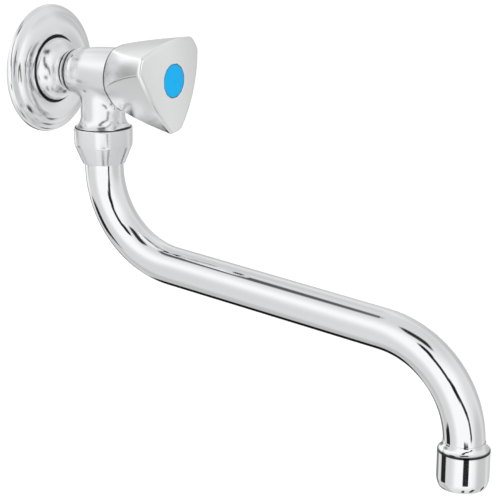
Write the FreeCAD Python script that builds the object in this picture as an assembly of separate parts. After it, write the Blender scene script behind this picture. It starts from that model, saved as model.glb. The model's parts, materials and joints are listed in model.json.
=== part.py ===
import FreeCAD, Part
import math
import os

# A wall-mounted cold-water tap with a swivelling S-shaped spout and a three-sided handle.
# Millimetres. The wall is the plane y = 0 and the tap stands out along -Y, with +Z up.
# "Out" below is the distance from the wall, measured along -Y on the valve's axis.

Vector = FreeCAD.Vector
ORIGIN = Vector(0, 0, 0)
AXIS_X = Vector(1, 0, 0)
AXIS_Z = Vector(0, 0, 1)

# Clearances
FIT_GAP = 0.05            # threaded and pushed-in fits, drawn as plain round walls
RUN_GAP = 0.10            # turning and sliding fits
SEAT_GAP = 0.04           # faces that rest on each other across a joint
SHOW_GAP = 0.50           # the line seen between the handle's rim and the body
OPEN_GAP = 0.40           # room left where nothing has to fit

# Inlet shank: 1/2 inch pipe thread, drawn as its outer cylinder
INLET_THREAD_R = 10.48
INLET_THREAD_LENGTH = 14.0
INLET_THREAD_DEPTH = 1.1
INLET_THREAD_CHAMFER = 0.8
INLET_BORE_R = 6.0

# Wall rosette
ROSETTE_R = 30.0
ROSETTE_WALL = 0.8
ROSETTE_SEAT_OUT = 2.6
ROSETTE_RECESS_GAP = 1.3  # the dark ring seen round the collar
ROSETTE_RIM_WIDTH = 4.2
ROSETTE_BEAD_WIDTH = 4.8
ROSETTE_BEAD_OUT = 6.1
ROSETTE_GASKET_WIDTH = 3.0
ROSETTE_GASKET_THICK = 0.75

# Body collar and neck
COLLAR_R = 14.6
COLLAR_EDGE = 0.4
COLLAR_RIM = 1.9          # straight height of the collar before its dome
COLLAR_DOME = 6.6         # height of the dome above that
COLLAR_SWELL = 1.1        # how far the dome stands out from a straight cone
NECK_WALL = 2.4
NECK_STEP = 0.9           # from the dome's edge in to the neck
NECK_LENGTH = 1.1

# Valve chamber and seat, each size outside the one before it
SEAT_CROWN_WALL = 2.2
SEAT_CROWN_HEIGHT = 2.0
SEAT_DEPTH = 20.3         # from the barrel's end back to the seat
WASHER_LAND = 0.6         # from the washer's edge out to the crown's
WASHER_THICK = 3.0
PISTON_DISC_RIM = 0.4
PISTON_DISC_THICK = 2.2
CHAMBER_ROOM = 1.4
CHAMBER_STEP = 1.0        # from the chamber out to the headwork's thread
SPIGOT_WALL = 0.95
SPIGOT_LENGTH = 2.2
BARREL_STEP = 1.2

# Body barrel and outlet: 3/4 inch pipe thread, pointing down
BARREL_END_OUT = 42.9
BODY_BLEND_R = 6.9
OUTLET_LAND = 0.6         # from the outlet's neck to the barrel's end
OUTLET_BORE_R = 7.6
OUTLET_NECK_WALL = 2.8
OUTLET_NECK_LENGTH = 7.2  # below the barrel
OUTLET_FLARE_LENGTH = 5.8
OUTLET_FLARE_EDGE = 0.7
OUTLET_THREAD_LENGTH = 6.2
OUTLET_WALL = 2.0
OUTLET_SOCKET_DEPTH = 7.4

# Headwork: the grease-chamber valve top that carries the spindle
HEADWORK_THREAD_LENGTH = 11.5
HEADWORK_GASKET_THICK = 1.0
HEADWORK_FLANGE_THICK = 1.2
HEADWORK_HEX_INSET = 1.8  # from the flange in to each flat
HEADWORK_HEX_LENGTH = 4.6
HEADWORK_NECK_WALL = 1.3  # outside the spring ring
HEADWORK_NECK_LENGTH = 3.6
HEADWORK_RELIEF = 0.8     # bore left open under the headwork's foot
PISTON_TRAVEL = 5.0
PISTON_SLEEVE_LENGTH = 12.0
PISTON_WEB = 1.4          # between the disc and the thread's bore
WASHER_SCREW_R = 1.9
WASHER_SCREW_HEAD_R = 3.4
WASHER_SCREW_HEAD = 1.8
WASHER_SCREW_SHANK = 6.0
SCREW_SLOT = 0.8

# Spindle
SPINDLE_R = 4.5
SPINDLE_THREAD_STEP = 1.5
SPINDLE_FLANGE_STEP = 1.7
SPINDLE_FLANGE_THICK = 1.5
SPINDLE_SPLINE_STEP = 0.5
SPINDLE_SPLINE_DEPTH = 0.35
SPINDLE_SPLINE_TEETH = 20
SPINDLE_SPLINE_LENGTH = 8.8
SPINDLE_TAP_DEPTH = 9.0
SPINDLE_RING_DEPTH = 1.4
SPINDLE_RING_SECTION = 1.42
SPINDLE_RING_GROOVE = 1.8
GUIDE_ROOM = 0.3          # from the spindle's flange to the piston's flats
CLIP_THICK = 0.7
CLIP_WIDTH = 2.5
CLIP_GROOVE_DEPTH = 0.7
CLIP_MOUTH_DEG = 70.0

# Handle
HANDLE_RIM_STEP = 1.7     # how far the rim stands proud of the barrel
HANDLE_RIM_FLAT = 0.3     # how deep each side cuts into the rim
HANDLE_CORNER_R = 24.9
HANDLE_SIDE_SPLAY = 4.0   # how much further from the axis each side is at the corners
HANDLE_SIDE_R = 80.0      # radius of the bulge of each side, seen from the front
HANDLE_LENGTH = 28.4      # rim to corners, along the axis
HANDLE_DOME = 1.7         # how far the middle of the face stands out past its corners
HANDLE_FLANK_BULGE = 0.8
HANDLE_TURN_DEG = 8.5     # how far the handle stands turned from one corner straight down
HANDLE_WALL = 1.3
HANDLE_FACE_THICK = 2.2
HANDLE_EDGE_R = 1.2
HANDLE_HUB_WALL = 2.3
HANDLE_RIB_THICK = 1.6
HANDLE_RIB_SETBACK = 4.0
HANDLE_THROAT_GAP = 0.5
INSERT_WALL = 1.3
SCREW_R = 1.65
SCREW_HEAD_R = 3.3
SCREW_HEAD = 2.2
SCREW_KEY = 3.0           # across flats
SCREW_LENGTH = 10.5
SCREW_WELL_GAP = 1.1
SHOULDER_THICK = 1.6

# Coloured index cap
CAP_R = 7.5
CAP_GAP = 0.15
CAP_DROP = 0.05           # how far the cap lies below the handle's face
CAP_EDGE_R = 0.4
CAP_SKIRT_INSET = 0.9
CAP_SKIRT_WALL = 0.9
CAP_SKIRT_LENGTH = 1.6
CAP_RECESS_DEPTH = 3.4
CAP_RECESS_WALL = 1.6
CAP_RECESS_FLOOR = 1.4

# Union nut
NUT_WALL = 1.25
NUT_RISE = 0.4            # how far its top stands above the thread's
NUT_ROUND_LENGTH = 8.6
NUT_CONE_LENGTH = 8.2
NUT_LIP = 0.8
NUT_FLAT_RISE = 2.2       # how far the flats reach above the cone
NUT_FLAT_CUT = 0.45       # how deep each flat cuts into the bottom
NUT_TURN_DEG = 25.8       # places one corner of the flats
NUT_TOP_EDGE_R = 0.9
NUT_RELIEF = 0.3          # from the thread's end to the wide bore

# Spout tube
TUBE_R = 9.0
TUBE_WALL = 1.0
TUBE_GAP = 0.2            # round the tube where the nut turns about it
BEND_R = 43.6
BEND_DEG = 84.5
BEND_DROP_START = 1.8     # from the nut down to the first bend
SPOUT_STRAIGHT = 111.5
SPOUT_TAIL = 5.4
SLEEVE_WALL = 2.1
SLEEVE_FLANGE_STEP = 1.2
SLEEVE_FLANGE_THICK = 1.4
SLEEVE_GROOVE_DEPTH = 1.45
SLEEVE_RING_SECTION = 1.46
SLEEVE_GROOVE = 1.9
SLIDE_RING_THICK = 1.0

# Nozzle and aerator
NOZZLE_STEP = 2.3         # from the tube out to the nozzle's rim
NOZZLE_RIM_DROP = 3.0     # how far the rim lies below the end of the second bend
NOZZLE_FLARE = 3.9        # height of the flare above the rim
NOZZLE_NECK_WALL = 0.35
NOZZLE_THREAD_LENGTH = 6.5
NOZZLE_SEAT_WIDTH = 0.4   # ledge that the tube's end stands on
AERATOR_LENGTH = 16.8
AERATOR_RIM_GAP = 0.15
AERATOR_WALL = 1.25
AERATOR_FOOT_INSET = 1.4
AERATOR_FOOT_CURVE = 5.0
AERATOR_FOOT_ROUND = 0.5
AERATOR_LIP = 1.5
AERATOR_LIP_THICK = 1.3
WASHER_RING_THICK = 1.5
SCREEN_THICK = 0.5
SCREEN_HOLE_R = 0.55
SCREEN_HOLE_PITCH = 1.9
CARTRIDGE_WALL = 1.2
CARTRIDGE_GRID_THICK = 2.0
CARTRIDGE_HOLE_R = 0.85
CARTRIDGE_HOLE_PITCH = 2.25
CARTRIDGE_PLATE_THICK = 1.0
CARTRIDGE_PLATE_DROP = 1.0

# Radii that follow from the sizes above
NECK_R = INLET_BORE_R + NECK_WALL
SEAT_CROWN_R = INLET_BORE_R + SEAT_CROWN_WALL
WASHER_R = SEAT_CROWN_R - WASHER_LAND
PISTON_DISC_R = WASHER_R + PISTON_DISC_RIM
CHAMBER_R = PISTON_DISC_R + CHAMBER_ROOM
HEADWORK_THREAD_R = CHAMBER_R + CHAMBER_STEP
SPIGOT_R = HEADWORK_THREAD_R + FIT_GAP + SPIGOT_WALL
BARREL_R = SPIGOT_R + BARREL_STEP
ROSETTE_HOLE_R = COLLAR_R + ROSETTE_RECESS_GAP
HEADWORK_FLANGE_R = SPIGOT_R - RUN_GAP
HEADWORK_HEX = 2 * (HEADWORK_FLANGE_R - HEADWORK_HEX_INSET)
SPINDLE_THREAD_R = SPINDLE_R - SPINDLE_THREAD_STEP
SPINDLE_FLANGE_R = SPINDLE_R + SPINDLE_FLANGE_STEP
SPINDLE_SPLINE_R = SPINDLE_R - SPINDLE_SPLINE_STEP
SPINDLE_TAP_R = SCREW_R + FIT_GAP
SPINDLE_RING_ROOT_R = SPINDLE_R - SPINDLE_RING_DEPTH
PISTON_BORE_R = SPINDLE_THREAD_R + RUN_GAP
PISTON_HEX = 2 * (SPINDLE_FLANGE_R + GUIDE_ROOM)
CLIP_ROOT_R = SPINDLE_R - CLIP_GROOVE_DEPTH
CLIP_R = CLIP_ROOT_R + CLIP_WIDTH
HEADWORK_NECK_R = CLIP_R + HEADWORK_NECK_WALL
HANDLE_RIM_R = BARREL_R + HANDLE_RIM_STEP
HANDLE_SIDE_BACK = HANDLE_RIM_R - HANDLE_RIM_FLAT
INSERT_HEX = 2 * (SPINDLE_SPLINE_R + INSERT_WALL)
HANDLE_HUB_R = INSERT_HEX / 2 + HANDLE_HUB_WALL
SCREW_WELL_R = SCREW_HEAD_R + SCREW_WELL_GAP
CAP_SKIRT_R = CAP_R - CAP_SKIRT_INSET
SLEEVE_R = TUBE_R + SLEEVE_WALL
SLEEVE_FLANGE_R = SLEEVE_R + SLEEVE_FLANGE_STEP
OUTLET_SOCKET_R = SLEEVE_R + RUN_GAP
OUTLET_THREAD_R = OUTLET_SOCKET_R + OUTLET_WALL
OUTLET_R = OUTLET_BORE_R + OUTLET_NECK_WALL
NUT_R = OUTLET_THREAD_R + FIT_GAP + NUT_WALL
NUT_HOLE_R = TUBE_R + TUBE_GAP
NUT_BOTTOM_R = NUT_HOLE_R + NUT_LIP
NUT_FLAT_BOTTOM = NUT_BOTTOM_R - NUT_FLAT_CUT
NUT_SHOULDER_R = SLEEVE_FLANGE_R + 2 * RUN_GAP
NOZZLE_R = TUBE_R + NOZZLE_STEP
NOZZLE_THREAD_R = NOZZLE_R - AERATOR_WALL - FIT_GAP
NOZZLE_BORE_R = TUBE_R - TUBE_WALL - NOZZLE_SEAT_WIDTH
AERATOR_FOOT_R = NOZZLE_R - AERATOR_FOOT_INSET
AERATOR_LIP_R = AERATOR_FOOT_R - AERATOR_LIP
CARTRIDGE_R = NOZZLE_THREAD_R - CARTRIDGE_WALL / 2
SCREEN_R = CARTRIDGE_R - RUN_GAP

# Places that follow from them, along the valve's axis
COLLAR_DOME_OUT = ROSETTE_SEAT_OUT + COLLAR_RIM + COLLAR_DOME
NECK_OUT = COLLAR_DOME_OUT + NECK_LENGTH
SEAT_OUT = BARREL_END_OUT - SEAT_DEPTH
OUTLET_OUT = BARREL_END_OUT - OUTLET_LAND - OUTLET_R
SPIGOT_END_OUT = BARREL_END_OUT + SPIGOT_LENGTH
HEADWORK_FLANGE_OUT = SPIGOT_END_OUT + HEADWORK_GASKET_THICK
HEADWORK_HEX_OUT = HEADWORK_FLANGE_OUT + HEADWORK_FLANGE_THICK
HEADWORK_NECK_OUT = HEADWORK_HEX_OUT + HEADWORK_HEX_LENGTH
HEADWORK_END_OUT = HEADWORK_NECK_OUT + HEADWORK_NECK_LENGTH
HEADWORK_FOOT_OUT = HEADWORK_FLANGE_OUT - HEADWORK_THREAD_LENGTH
WASHER_OUT = SEAT_OUT + SEAT_GAP
PISTON_DISC_OUT = WASHER_OUT + WASHER_THICK
PISTON_SLEEVE_OUT = PISTON_DISC_OUT + PISTON_DISC_THICK
PISTON_END_OUT = PISTON_SLEEVE_OUT + PISTON_SLEEVE_LENGTH
SPINDLE_FLANGE_OUT = PISTON_END_OUT + PISTON_TRAVEL + RUN_GAP
SPINDLE_SHOULDER_OUT = SPINDLE_FLANGE_OUT + SPINDLE_FLANGE_THICK
HEADWORK_SHOULDER_OUT = SPINDLE_SHOULDER_OUT + SEAT_GAP
PISTON_BORE_OUT = PISTON_SLEEVE_OUT + PISTON_WEB
SPINDLE_FOOT_OUT = PISTON_BORE_OUT + PISTON_TRAVEL + RUN_GAP
CLIP_OUT = HEADWORK_END_OUT + SEAT_GAP
SPINDLE_SPLINE_OUT = CLIP_OUT + CLIP_THICK + OPEN_GAP + RUN_GAP
SPINDLE_END_OUT = SPINDLE_SPLINE_OUT + SPINDLE_SPLINE_LENGTH
HANDLE_RIM_OUT = BARREL_END_OUT + SHOW_GAP
HANDLE_CORNER_OUT = HANDLE_RIM_OUT + HANDLE_LENGTH
HANDLE_FACE_OUT = HANDLE_CORNER_OUT + HANDLE_DOME
CAP_RECESS_OUT = HANDLE_FACE_OUT - CAP_RECESS_DEPTH
SHOULDER_OUT = SPINDLE_END_OUT + RUN_GAP
INSERT_OUT = SPINDLE_SPLINE_OUT + RUN_GAP
SCREW_HEAD_OUT = SHOULDER_OUT + SHOULDER_THICK

# Heights that follow from them
OUTLET_STRAIGHT_END_Z = -BARREL_R - OUTLET_NECK_LENGTH
OUTLET_THREAD_TOP_Z = OUTLET_STRAIGHT_END_Z - OUTLET_FLARE_LENGTH
OUTLET_END_Z = OUTLET_THREAD_TOP_Z - OUTLET_THREAD_LENGTH
SLEEVE_TOP_Z = OUTLET_END_Z + OUTLET_SOCKET_DEPTH - OPEN_GAP
NUT_TOP_Z = OUTLET_THREAD_TOP_Z + NUT_RISE
NUT_CONE_TOP_Z = NUT_TOP_Z - NUT_ROUND_LENGTH
NUT_BOTTOM_Z = NUT_CONE_TOP_Z - NUT_CONE_LENGTH
NUT_FLAT_TOP_Z = NUT_CONE_TOP_Z + NUT_FLAT_RISE
BEND_START_Z = NUT_BOTTOM_Z - BEND_DROP_START
BEND = math.radians(BEND_DEG)
BEND_REACH = BEND_R * (1 - math.cos(BEND))
BEND_DROP = BEND_R * math.sin(BEND)
SPOUT_REACH = 2 * BEND_REACH + SPOUT_STRAIGHT * math.sin(BEND)
STRAIGHT_TOP_Z = BEND_START_Z - BEND_DROP
STRAIGHT_END_Z = STRAIGHT_TOP_Z - SPOUT_STRAIGHT * math.cos(BEND)
BEND_END_Z = STRAIGHT_END_Z - BEND_DROP
NOZZLE_OUT = OUTLET_OUT + SPOUT_REACH
NOZZLE_RIM_Z = BEND_END_Z - NOZZLE_RIM_DROP
NOZZLE_FLARE_TOP_Z = NOZZLE_RIM_Z + NOZZLE_FLARE
AERATOR_TOP_Z = NOZZLE_RIM_Z - AERATOR_RIM_GAP
AERATOR_END_Z = NOZZLE_RIM_Z - AERATOR_LENGTH
NOZZLE_END_Z = NOZZLE_RIM_Z - NOZZLE_THREAD_LENGTH
WASHER_RING_Z = NOZZLE_END_Z - WASHER_RING_THICK
SCREEN_Z = WASHER_RING_Z - SCREEN_THICK
CARTRIDGE_END_Z = AERATOR_END_Z + AERATOR_LIP_THICK


def line(a, b):
    return Part.makeLine(Vector(*a), Vector(*b))


def arc(a, middle, b):
    return Part.Arc(Vector(*a), Vector(*middle), Vector(*b)).toShape()


def swelling_arc(a, b, swell):
    """An arc in the XZ plane whose middle stands out from its chord by swell, away from Z."""
    run = Vector(*b) - Vector(*a)
    side = Vector(run.z, 0, -run.x)
    swell = swell if side.x > 0 else -swell
    middle = (Vector(*a) + Vector(*b)) / 2 + side / run.Length * swell
    return Part.Arc(Vector(*a), middle, Vector(*b)).toShape()


def turned(edges):
    """The solid swept by a closed outline in the XZ plane, x being the radius, once round Z."""
    face = Part.Face(Part.Wire(Part.__sortEdges__(edges)))
    solid = face.revolve(ORIGIN, AXIS_Z, 360)
    return solid if solid.Volume > 0 else solid.reversed()


def outline(points):
    """Straight edges round a closed outline of (radius, height) corners."""
    corners = [(r, 0, z) for r, z in points]
    return [line(a, b) for a, b in zip(corners, corners[1:] + corners[:1])]


def ring(inner, outer, low, high):
    return turned(outline([(inner, low), (outer, low), (outer, high), (inner, high)]))


def rod(radius, low, high):
    return Part.makeCylinder(radius, high - low, Vector(0, 0, low), AXIS_Z)


def torus(middle_r, section_r, height):
    return Part.makeTorus(middle_r, section_r, Vector(0, 0, height), AXIS_Z)


def prism(points, low, high):
    """An upright prism over a closed outline of (x, y) corners."""
    wire = Part.makePolygon([Vector(x, y, low) for x, y in points + points[:1]])
    return Part.Face(wire).extrude(Vector(0, 0, high - low))


def polygon(across_flats, sides, turn_deg=0.0):
    corner_r = across_flats / 2 / math.cos(math.pi / sides)
    angles = [math.radians(turn_deg) + 2 * math.pi * k / sides for k in range(sides)]
    return [(corner_r * math.cos(a), corner_r * math.sin(a)) for a in angles]


def star(outer_r, depth, teeth):
    """The outline of a fine spline."""
    angles = [math.pi * k / teeth for k in range(2 * teeth)]
    radii = [outer_r - depth * (k % 2) for k in range(2 * teeth)]
    return [(r * math.cos(a), r * math.sin(a)) for r, a in zip(radii, angles)]


def holes(radius, pitch, reach, low, high):
    """Round holes on a hexagonal pattern, as far out as reach."""
    found = []
    rows = int(reach / pitch) + 1
    for j in range(-rows, rows + 1):
        for i in range(-2 * rows, 2 * rows + 1):
            x = pitch * (i + 0.5 * (j % 2))
            y = pitch * j * math.sqrt(3) / 2
            if math.hypot(x, y) + radius <= reach:
                found.append(Part.makeCylinder(radius, high - low, Vector(x, y, low)))
    return Part.makeCompound(found)


def out(shape):
    """Carries a piece made round +Z onto the valve's axis, its heights becoming distances from the wall."""
    placed = shape.copy()
    placed.rotate(ORIGIN, AXIS_X, 90)
    return placed


def down(shape, reach=OUTLET_OUT):
    """Carries an upright piece made round the Z axis out from the wall."""
    placed = shape.copy()
    placed.translate(Vector(0, -reach, 0))
    return placed


def barrel_flank(neck_out):
    """The barrel's outline: quick out of the neck, then easing into the straight end."""
    span = BARREL_END_OUT - NECK_OUT
    rise = [(0.06, 0.30), (0.16, 0.47), (0.27, 0.58), (0.44, 0.78), (0.64, 0.92), (0.83, 0.98), (1.0, 1.0)]
    knots = [Vector(*neck_out)]
    for along, share in rise:
        radius = NECK_R + share * (BARREL_R - NECK_R)
        knots.append(Vector(radius, 0, NECK_OUT + along * span))
    flank = Part.BSplineCurve()
    flank.interpolate(knots)
    return flank.toShape()


def body_axis_part():
    """The collar, neck and barrel, solid, with the shank behind them."""
    end = -INLET_THREAD_LENGTH
    chamfer = INLET_THREAD_CHAMFER
    back = ROSETTE_SEAT_OUT
    root_r = INLET_THREAD_R - INLET_THREAD_DEPTH
    corners = [(0, end), (INLET_THREAD_R - chamfer, end), (INLET_THREAD_R, end + chamfer)]
    corners += [(INLET_THREAD_R, 0), (root_r, INLET_THREAD_DEPTH), (root_r, back)]
    corners += [(COLLAR_R - COLLAR_EDGE, back), (COLLAR_R, back + COLLAR_EDGE), (COLLAR_R, back + COLLAR_RIM)]
    points = [(r, 0, z) for r, z in corners]
    edges = [line(a, b) for a, b in zip(points, points[1:])]
    dome_end = (NECK_R + NECK_STEP, 0, COLLAR_DOME_OUT)
    edges.append(swelling_arc(points[-1], dome_end, COLLAR_SWELL))
    neck_in = (NECK_R, 0, COLLAR_DOME_OUT + NECK_LENGTH / 4)
    edges.append(line(dome_end, neck_in))
    neck_out = (NECK_R, 0, NECK_OUT)
    edges.append(line(neck_in, neck_out))
    edges.append(barrel_flank(neck_out))
    extended = BARREL_END_OUT + 3 * BODY_BLEND_R
    edges.append(line((BARREL_R, 0, BARREL_END_OUT), (BARREL_R, 0, extended)))
    edges.append(line((BARREL_R, 0, extended), (0, 0, extended)))
    edges.append(line((0, 0, extended), (0, 0, end)))
    return out(turned(edges))


def body_outlet_part():
    """The outlet branch, solid, from inside the barrel down to its thread."""
    flare_top = (OUTLET_R, 0, OUTLET_STRAIGHT_END_Z)
    lip = (OUTLET_THREAD_R - OUTLET_FLARE_EDGE / 3, 0, OUTLET_THREAD_TOP_Z + OUTLET_FLARE_EDGE)
    flare = 0.22 * (OUTLET_THREAD_R - OUTLET_R)
    flare_middle = (OUTLET_R + flare, 0, OUTLET_STRAIGHT_END_Z - 0.45 * OUTLET_FLARE_LENGTH)
    corners = [lip, (OUTLET_THREAD_R, 0, OUTLET_THREAD_TOP_Z), (OUTLET_THREAD_R, 0, OUTLET_END_Z),
               (0, 0, OUTLET_END_Z), (0, 0, 0), (OUTLET_R, 0, 0), flare_top]
    edges = [line(a, b) for a, b in zip(corners, corners[1:])]
    edges.append(arc(flare_top, flare_middle, lip))
    return down(turned(edges))


def meeting_edges(shape):
    """The edges where the outlet branch leaves the barrel."""
    found = []
    for edge in shape.Edges:
        box = edge.BoundBox
        beside = box.YMin > -OUTLET_OUT - OUTLET_R - 0.5 and box.YMax < -OUTLET_OUT + OUTLET_R + 0.5
        within = box.XMax < OUTLET_R + 0.5 and box.XMin > -OUTLET_R - 0.5
        below = box.ZMax < -0.5 and box.ZMin > -BARREL_R - 1.0
        if beside and within and below:
            found.append(edge)
    return found


def valve_body():
    """The cast tee: shank, collar, barrel and outlet, with its waterways and its valve seat."""
    cast = body_axis_part().fuse(body_outlet_part()).removeSplitter()
    cast = cast.makeFillet(BODY_BLEND_R, meeting_edges(cast))
    far = 4 * BODY_BLEND_R
    reach = BARREL_END_OUT
    past_end = Vector(-4 * BARREL_R, -reach - far, OUTLET_STRAIGHT_END_Z)
    cast = cast.cut(Part.makeBox(8 * BARREL_R, far, 8 * BARREL_R, past_end))
    cast = cast.fuse(out(rod(SPIGOT_R, reach - SPIGOT_LENGTH, SPIGOT_END_OUT)))
    relief = HEADWORK_FOOT_OUT - HEADWORK_RELIEF
    chamber = rod(CHAMBER_R, SEAT_OUT - SEAT_CROWN_HEIGHT, relief)
    thread = rod(HEADWORK_THREAD_R + FIT_GAP, relief, SPIGOT_END_OUT + 1)
    crown = ring(INLET_BORE_R, SEAT_CROWN_R, SEAT_OUT - SEAT_CROWN_HEIGHT - 1, SEAT_OUT)
    inlet = rod(INLET_BORE_R, -INLET_THREAD_LENGTH - 1, SEAT_OUT + 1)
    cast = cast.cut(out(chamber.fuse(thread).cut(crown).fuse(inlet)))
    bore = rod(OUTLET_BORE_R, OUTLET_END_Z - 1, 0)
    socket = rod(OUTLET_SOCKET_R, OUTLET_END_Z - 1, OUTLET_END_Z + OUTLET_SOCKET_DEPTH)
    spare = out(rod(CHAMBER_R, 0, SEAT_OUT))
    return cast.cut(down(bore.fuse(socket)).cut(spare))


def wall_rosette():
    """The pressed cover plate: a rolled rim, a raised bead, a dished face and a recess for the collar."""
    wall = ROSETTE_WALL
    hole = ROSETTE_HOLE_R
    bore = INLET_THREAD_R + OPEN_GAP
    rim = ROSETTE_R
    floor = ROSETTE_SEAT_OUT
    foot = rim - ROSETTE_RIM_WIDTH
    bead_end = foot - ROSETTE_BEAD_WIDTH
    high = ROSETTE_BEAD_OUT
    dish = bead_end - hole
    skin = [(rim, 0.0), (rim, 1.1), (rim - 0.7, 2.3), (foot + 1.0, 3.3), (foot, 3.5)]
    bead = [(foot - 1.2, high - 0.9), (foot - 3.0, high), (bead_end, high - 0.1)]
    bowl = [(hole + 0.59 * dish, high - 0.75), (hole + 0.22 * dish, high - 0.95), (hole, high - 1.5)]
    outer = skin + bead + bowl + [(hole, floor), (bore, floor)]
    inner = [(bore, floor - wall), (hole + wall, floor - wall), (hole + wall, high - 2.0)]
    inner += [(hole + 0.59 * dish, high - 1.7), (bead_end, high - 0.95), (foot - 3.2, high - 0.9)]
    inner += [(foot - 2.0, high - 1.7), (foot - 0.6, 2.7), (foot + 0.8, 2.45), (rim - 1.4, 1.7)]
    inner += [(rim - wall, 0.8), (rim - wall, 0.0)]

    def smooth(points):
        curve = Part.BSplineCurve()
        curve.interpolate([Vector(r, 0, z) for r, z in points])
        return curve.toShape()

    def straight(points):
        placed = [(r, 0, z) for r, z in points]
        return [line(a, b) for a, b in zip(placed, placed[1:])]

    edges = straight(outer[0:2]) + [smooth(skin[1:])] + straight([skin[-1], bead[0]])
    edges += [smooth(bead + bowl)] + straight([bowl[-1], (hole, floor), (bore, floor)])
    edges += straight([(bore, floor)] + inner + [outer[0]])
    return out(turned(edges))


def rosette_gasket():
    edge = ROSETTE_R - ROSETTE_WALL - OPEN_GAP
    return out(ring(edge - ROSETTE_GASKET_WIDTH, edge, 0.0, ROSETTE_GASKET_THICK))


def headwork_gasket():
    return out(ring(HEADWORK_THREAD_R + FIT_GAP, SPIGOT_R - 2 * RUN_GAP, SPIGOT_END_OUT, HEADWORK_FLANGE_OUT))


def headwork_housing():
    """The brass valve top: a threaded foot, a flange on its gasket, spanner flats and a neck."""
    solid = rod(HEADWORK_THREAD_R, HEADWORK_FOOT_OUT, HEADWORK_FLANGE_OUT)
    solid = solid.fuse(rod(HEADWORK_FLANGE_R, HEADWORK_FLANGE_OUT, HEADWORK_HEX_OUT))
    solid = solid.fuse(prism(polygon(HEADWORK_HEX, 6), HEADWORK_HEX_OUT, HEADWORK_NECK_OUT))
    solid = solid.fuse(rod(HEADWORK_NECK_R, HEADWORK_NECK_OUT, HEADWORK_END_OUT))
    guide = prism(polygon(PISTON_HEX + 2 * RUN_GAP, 6), HEADWORK_FOOT_OUT - 1, HEADWORK_SHOULDER_OUT)
    shaft = rod(SPINDLE_R + RUN_GAP, HEADWORK_SHOULDER_OUT - 1, HEADWORK_END_OUT + 1)
    return out(solid.cut(guide).cut(shaft).removeSplitter())


def valve_piston():
    """The carrier that the spindle's thread draws along the housing's six-sided guide."""
    disc = rod(PISTON_DISC_R, PISTON_DISC_OUT, PISTON_SLEEVE_OUT)
    sleeve = prism(polygon(PISTON_HEX, 6), PISTON_SLEEVE_OUT, PISTON_END_OUT)
    bore = rod(PISTON_BORE_R, PISTON_BORE_OUT, PISTON_END_OUT + 1)
    tap = rod(WASHER_SCREW_R + FIT_GAP, PISTON_DISC_OUT - 1, PISTON_BORE_OUT + 1)
    return out(disc.fuse(sleeve).cut(bore).cut(tap).removeSplitter())


def seat_washer():
    return out(ring(WASHER_SCREW_R + FIT_GAP, WASHER_R, WASHER_OUT, PISTON_DISC_OUT))


def washer_screw():
    """The screw that holds the rubber washer; its head lies inside the seat's bore."""
    head = rod(WASHER_SCREW_HEAD_R, WASHER_OUT - WASHER_SCREW_HEAD, WASHER_OUT)
    shank = rod(WASHER_SCREW_R, WASHER_OUT, WASHER_OUT + WASHER_SCREW_SHANK)
    slot = Part.makeBox(2 * WASHER_SCREW_HEAD_R, SCREW_SLOT, SCREW_SLOT,
                        Vector(-WASHER_SCREW_HEAD_R, -SCREW_SLOT / 2, WASHER_OUT - WASHER_SCREW_HEAD))
    return out(head.fuse(shank).cut(slot))


def ring_grooves():
    """The distances from the wall at which the spindle's two seal grooves begin."""
    span = HEADWORK_END_OUT - HEADWORK_SHOULDER_OUT
    land = (span - 2 * SPINDLE_RING_GROOVE) / 3
    first = HEADWORK_SHOULDER_OUT + land
    return [first, first + SPINDLE_RING_GROOVE + land]


def spindle():
    """The turning stem: a threaded foot in the piston, a flange, sealed journals and a fine spline."""
    stem = rod(SPINDLE_THREAD_R, SPINDLE_FOOT_OUT, SPINDLE_FLANGE_OUT)
    stem = stem.fuse(rod(SPINDLE_FLANGE_R, SPINDLE_FLANGE_OUT, SPINDLE_SHOULDER_OUT))
    stem = stem.fuse(rod(SPINDLE_R, SPINDLE_SHOULDER_OUT, SPINDLE_SPLINE_OUT))
    teeth = star(SPINDLE_SPLINE_R, SPINDLE_SPLINE_DEPTH, SPINDLE_SPLINE_TEETH)
    stem = stem.fuse(prism(teeth, SPINDLE_SPLINE_OUT, SPINDLE_END_OUT))
    for start in ring_grooves():
        stem = stem.cut(ring(SPINDLE_RING_ROOT_R, SPINDLE_R + 1, start, start + SPINDLE_RING_GROOVE))
    stem = stem.cut(ring(CLIP_ROOT_R, SPINDLE_R + 1, CLIP_OUT, CLIP_OUT + CLIP_THICK + RUN_GAP))
    stem = stem.cut(rod(SPINDLE_TAP_R, SPINDLE_END_OUT - SPINDLE_TAP_DEPTH, SPINDLE_END_OUT + 1))
    return out(stem)


def spindle_seal_rings():
    section = SPINDLE_RING_SECTION / 2
    middle = SPINDLE_RING_ROOT_R + FIT_GAP + section
    rings = [torus(middle, section, start + SPINDLE_RING_GROOVE / 2) for start in ring_grooves()]
    return out(Part.makeCompound(rings))


def spindle_clip():
    """The open spring ring that stops the spindle being pushed in."""
    low = CLIP_OUT + FIT_GAP
    clip = ring(CLIP_ROOT_R + FIT_GAP, CLIP_R, low, low + CLIP_THICK)
    half = math.radians(CLIP_MOUTH_DEG / 2)
    far = 2 * CLIP_R
    mouth = prism([(0, 0), (far * math.cos(half), -far * math.sin(half)),
                   (far * math.cos(half), far * math.sin(half))], low - 1, low + 2)
    return out(clip.cut(mouth))


def face_sag(radius):
    """How far the domed face has fallen back from its middle at a distance from the axis."""
    sphere_r = (HANDLE_CORNER_R ** 2 + HANDLE_DOME ** 2) / (2 * HANDLE_DOME)
    return sphere_r - math.sqrt(sphere_r ** 2 - radius ** 2)


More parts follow.
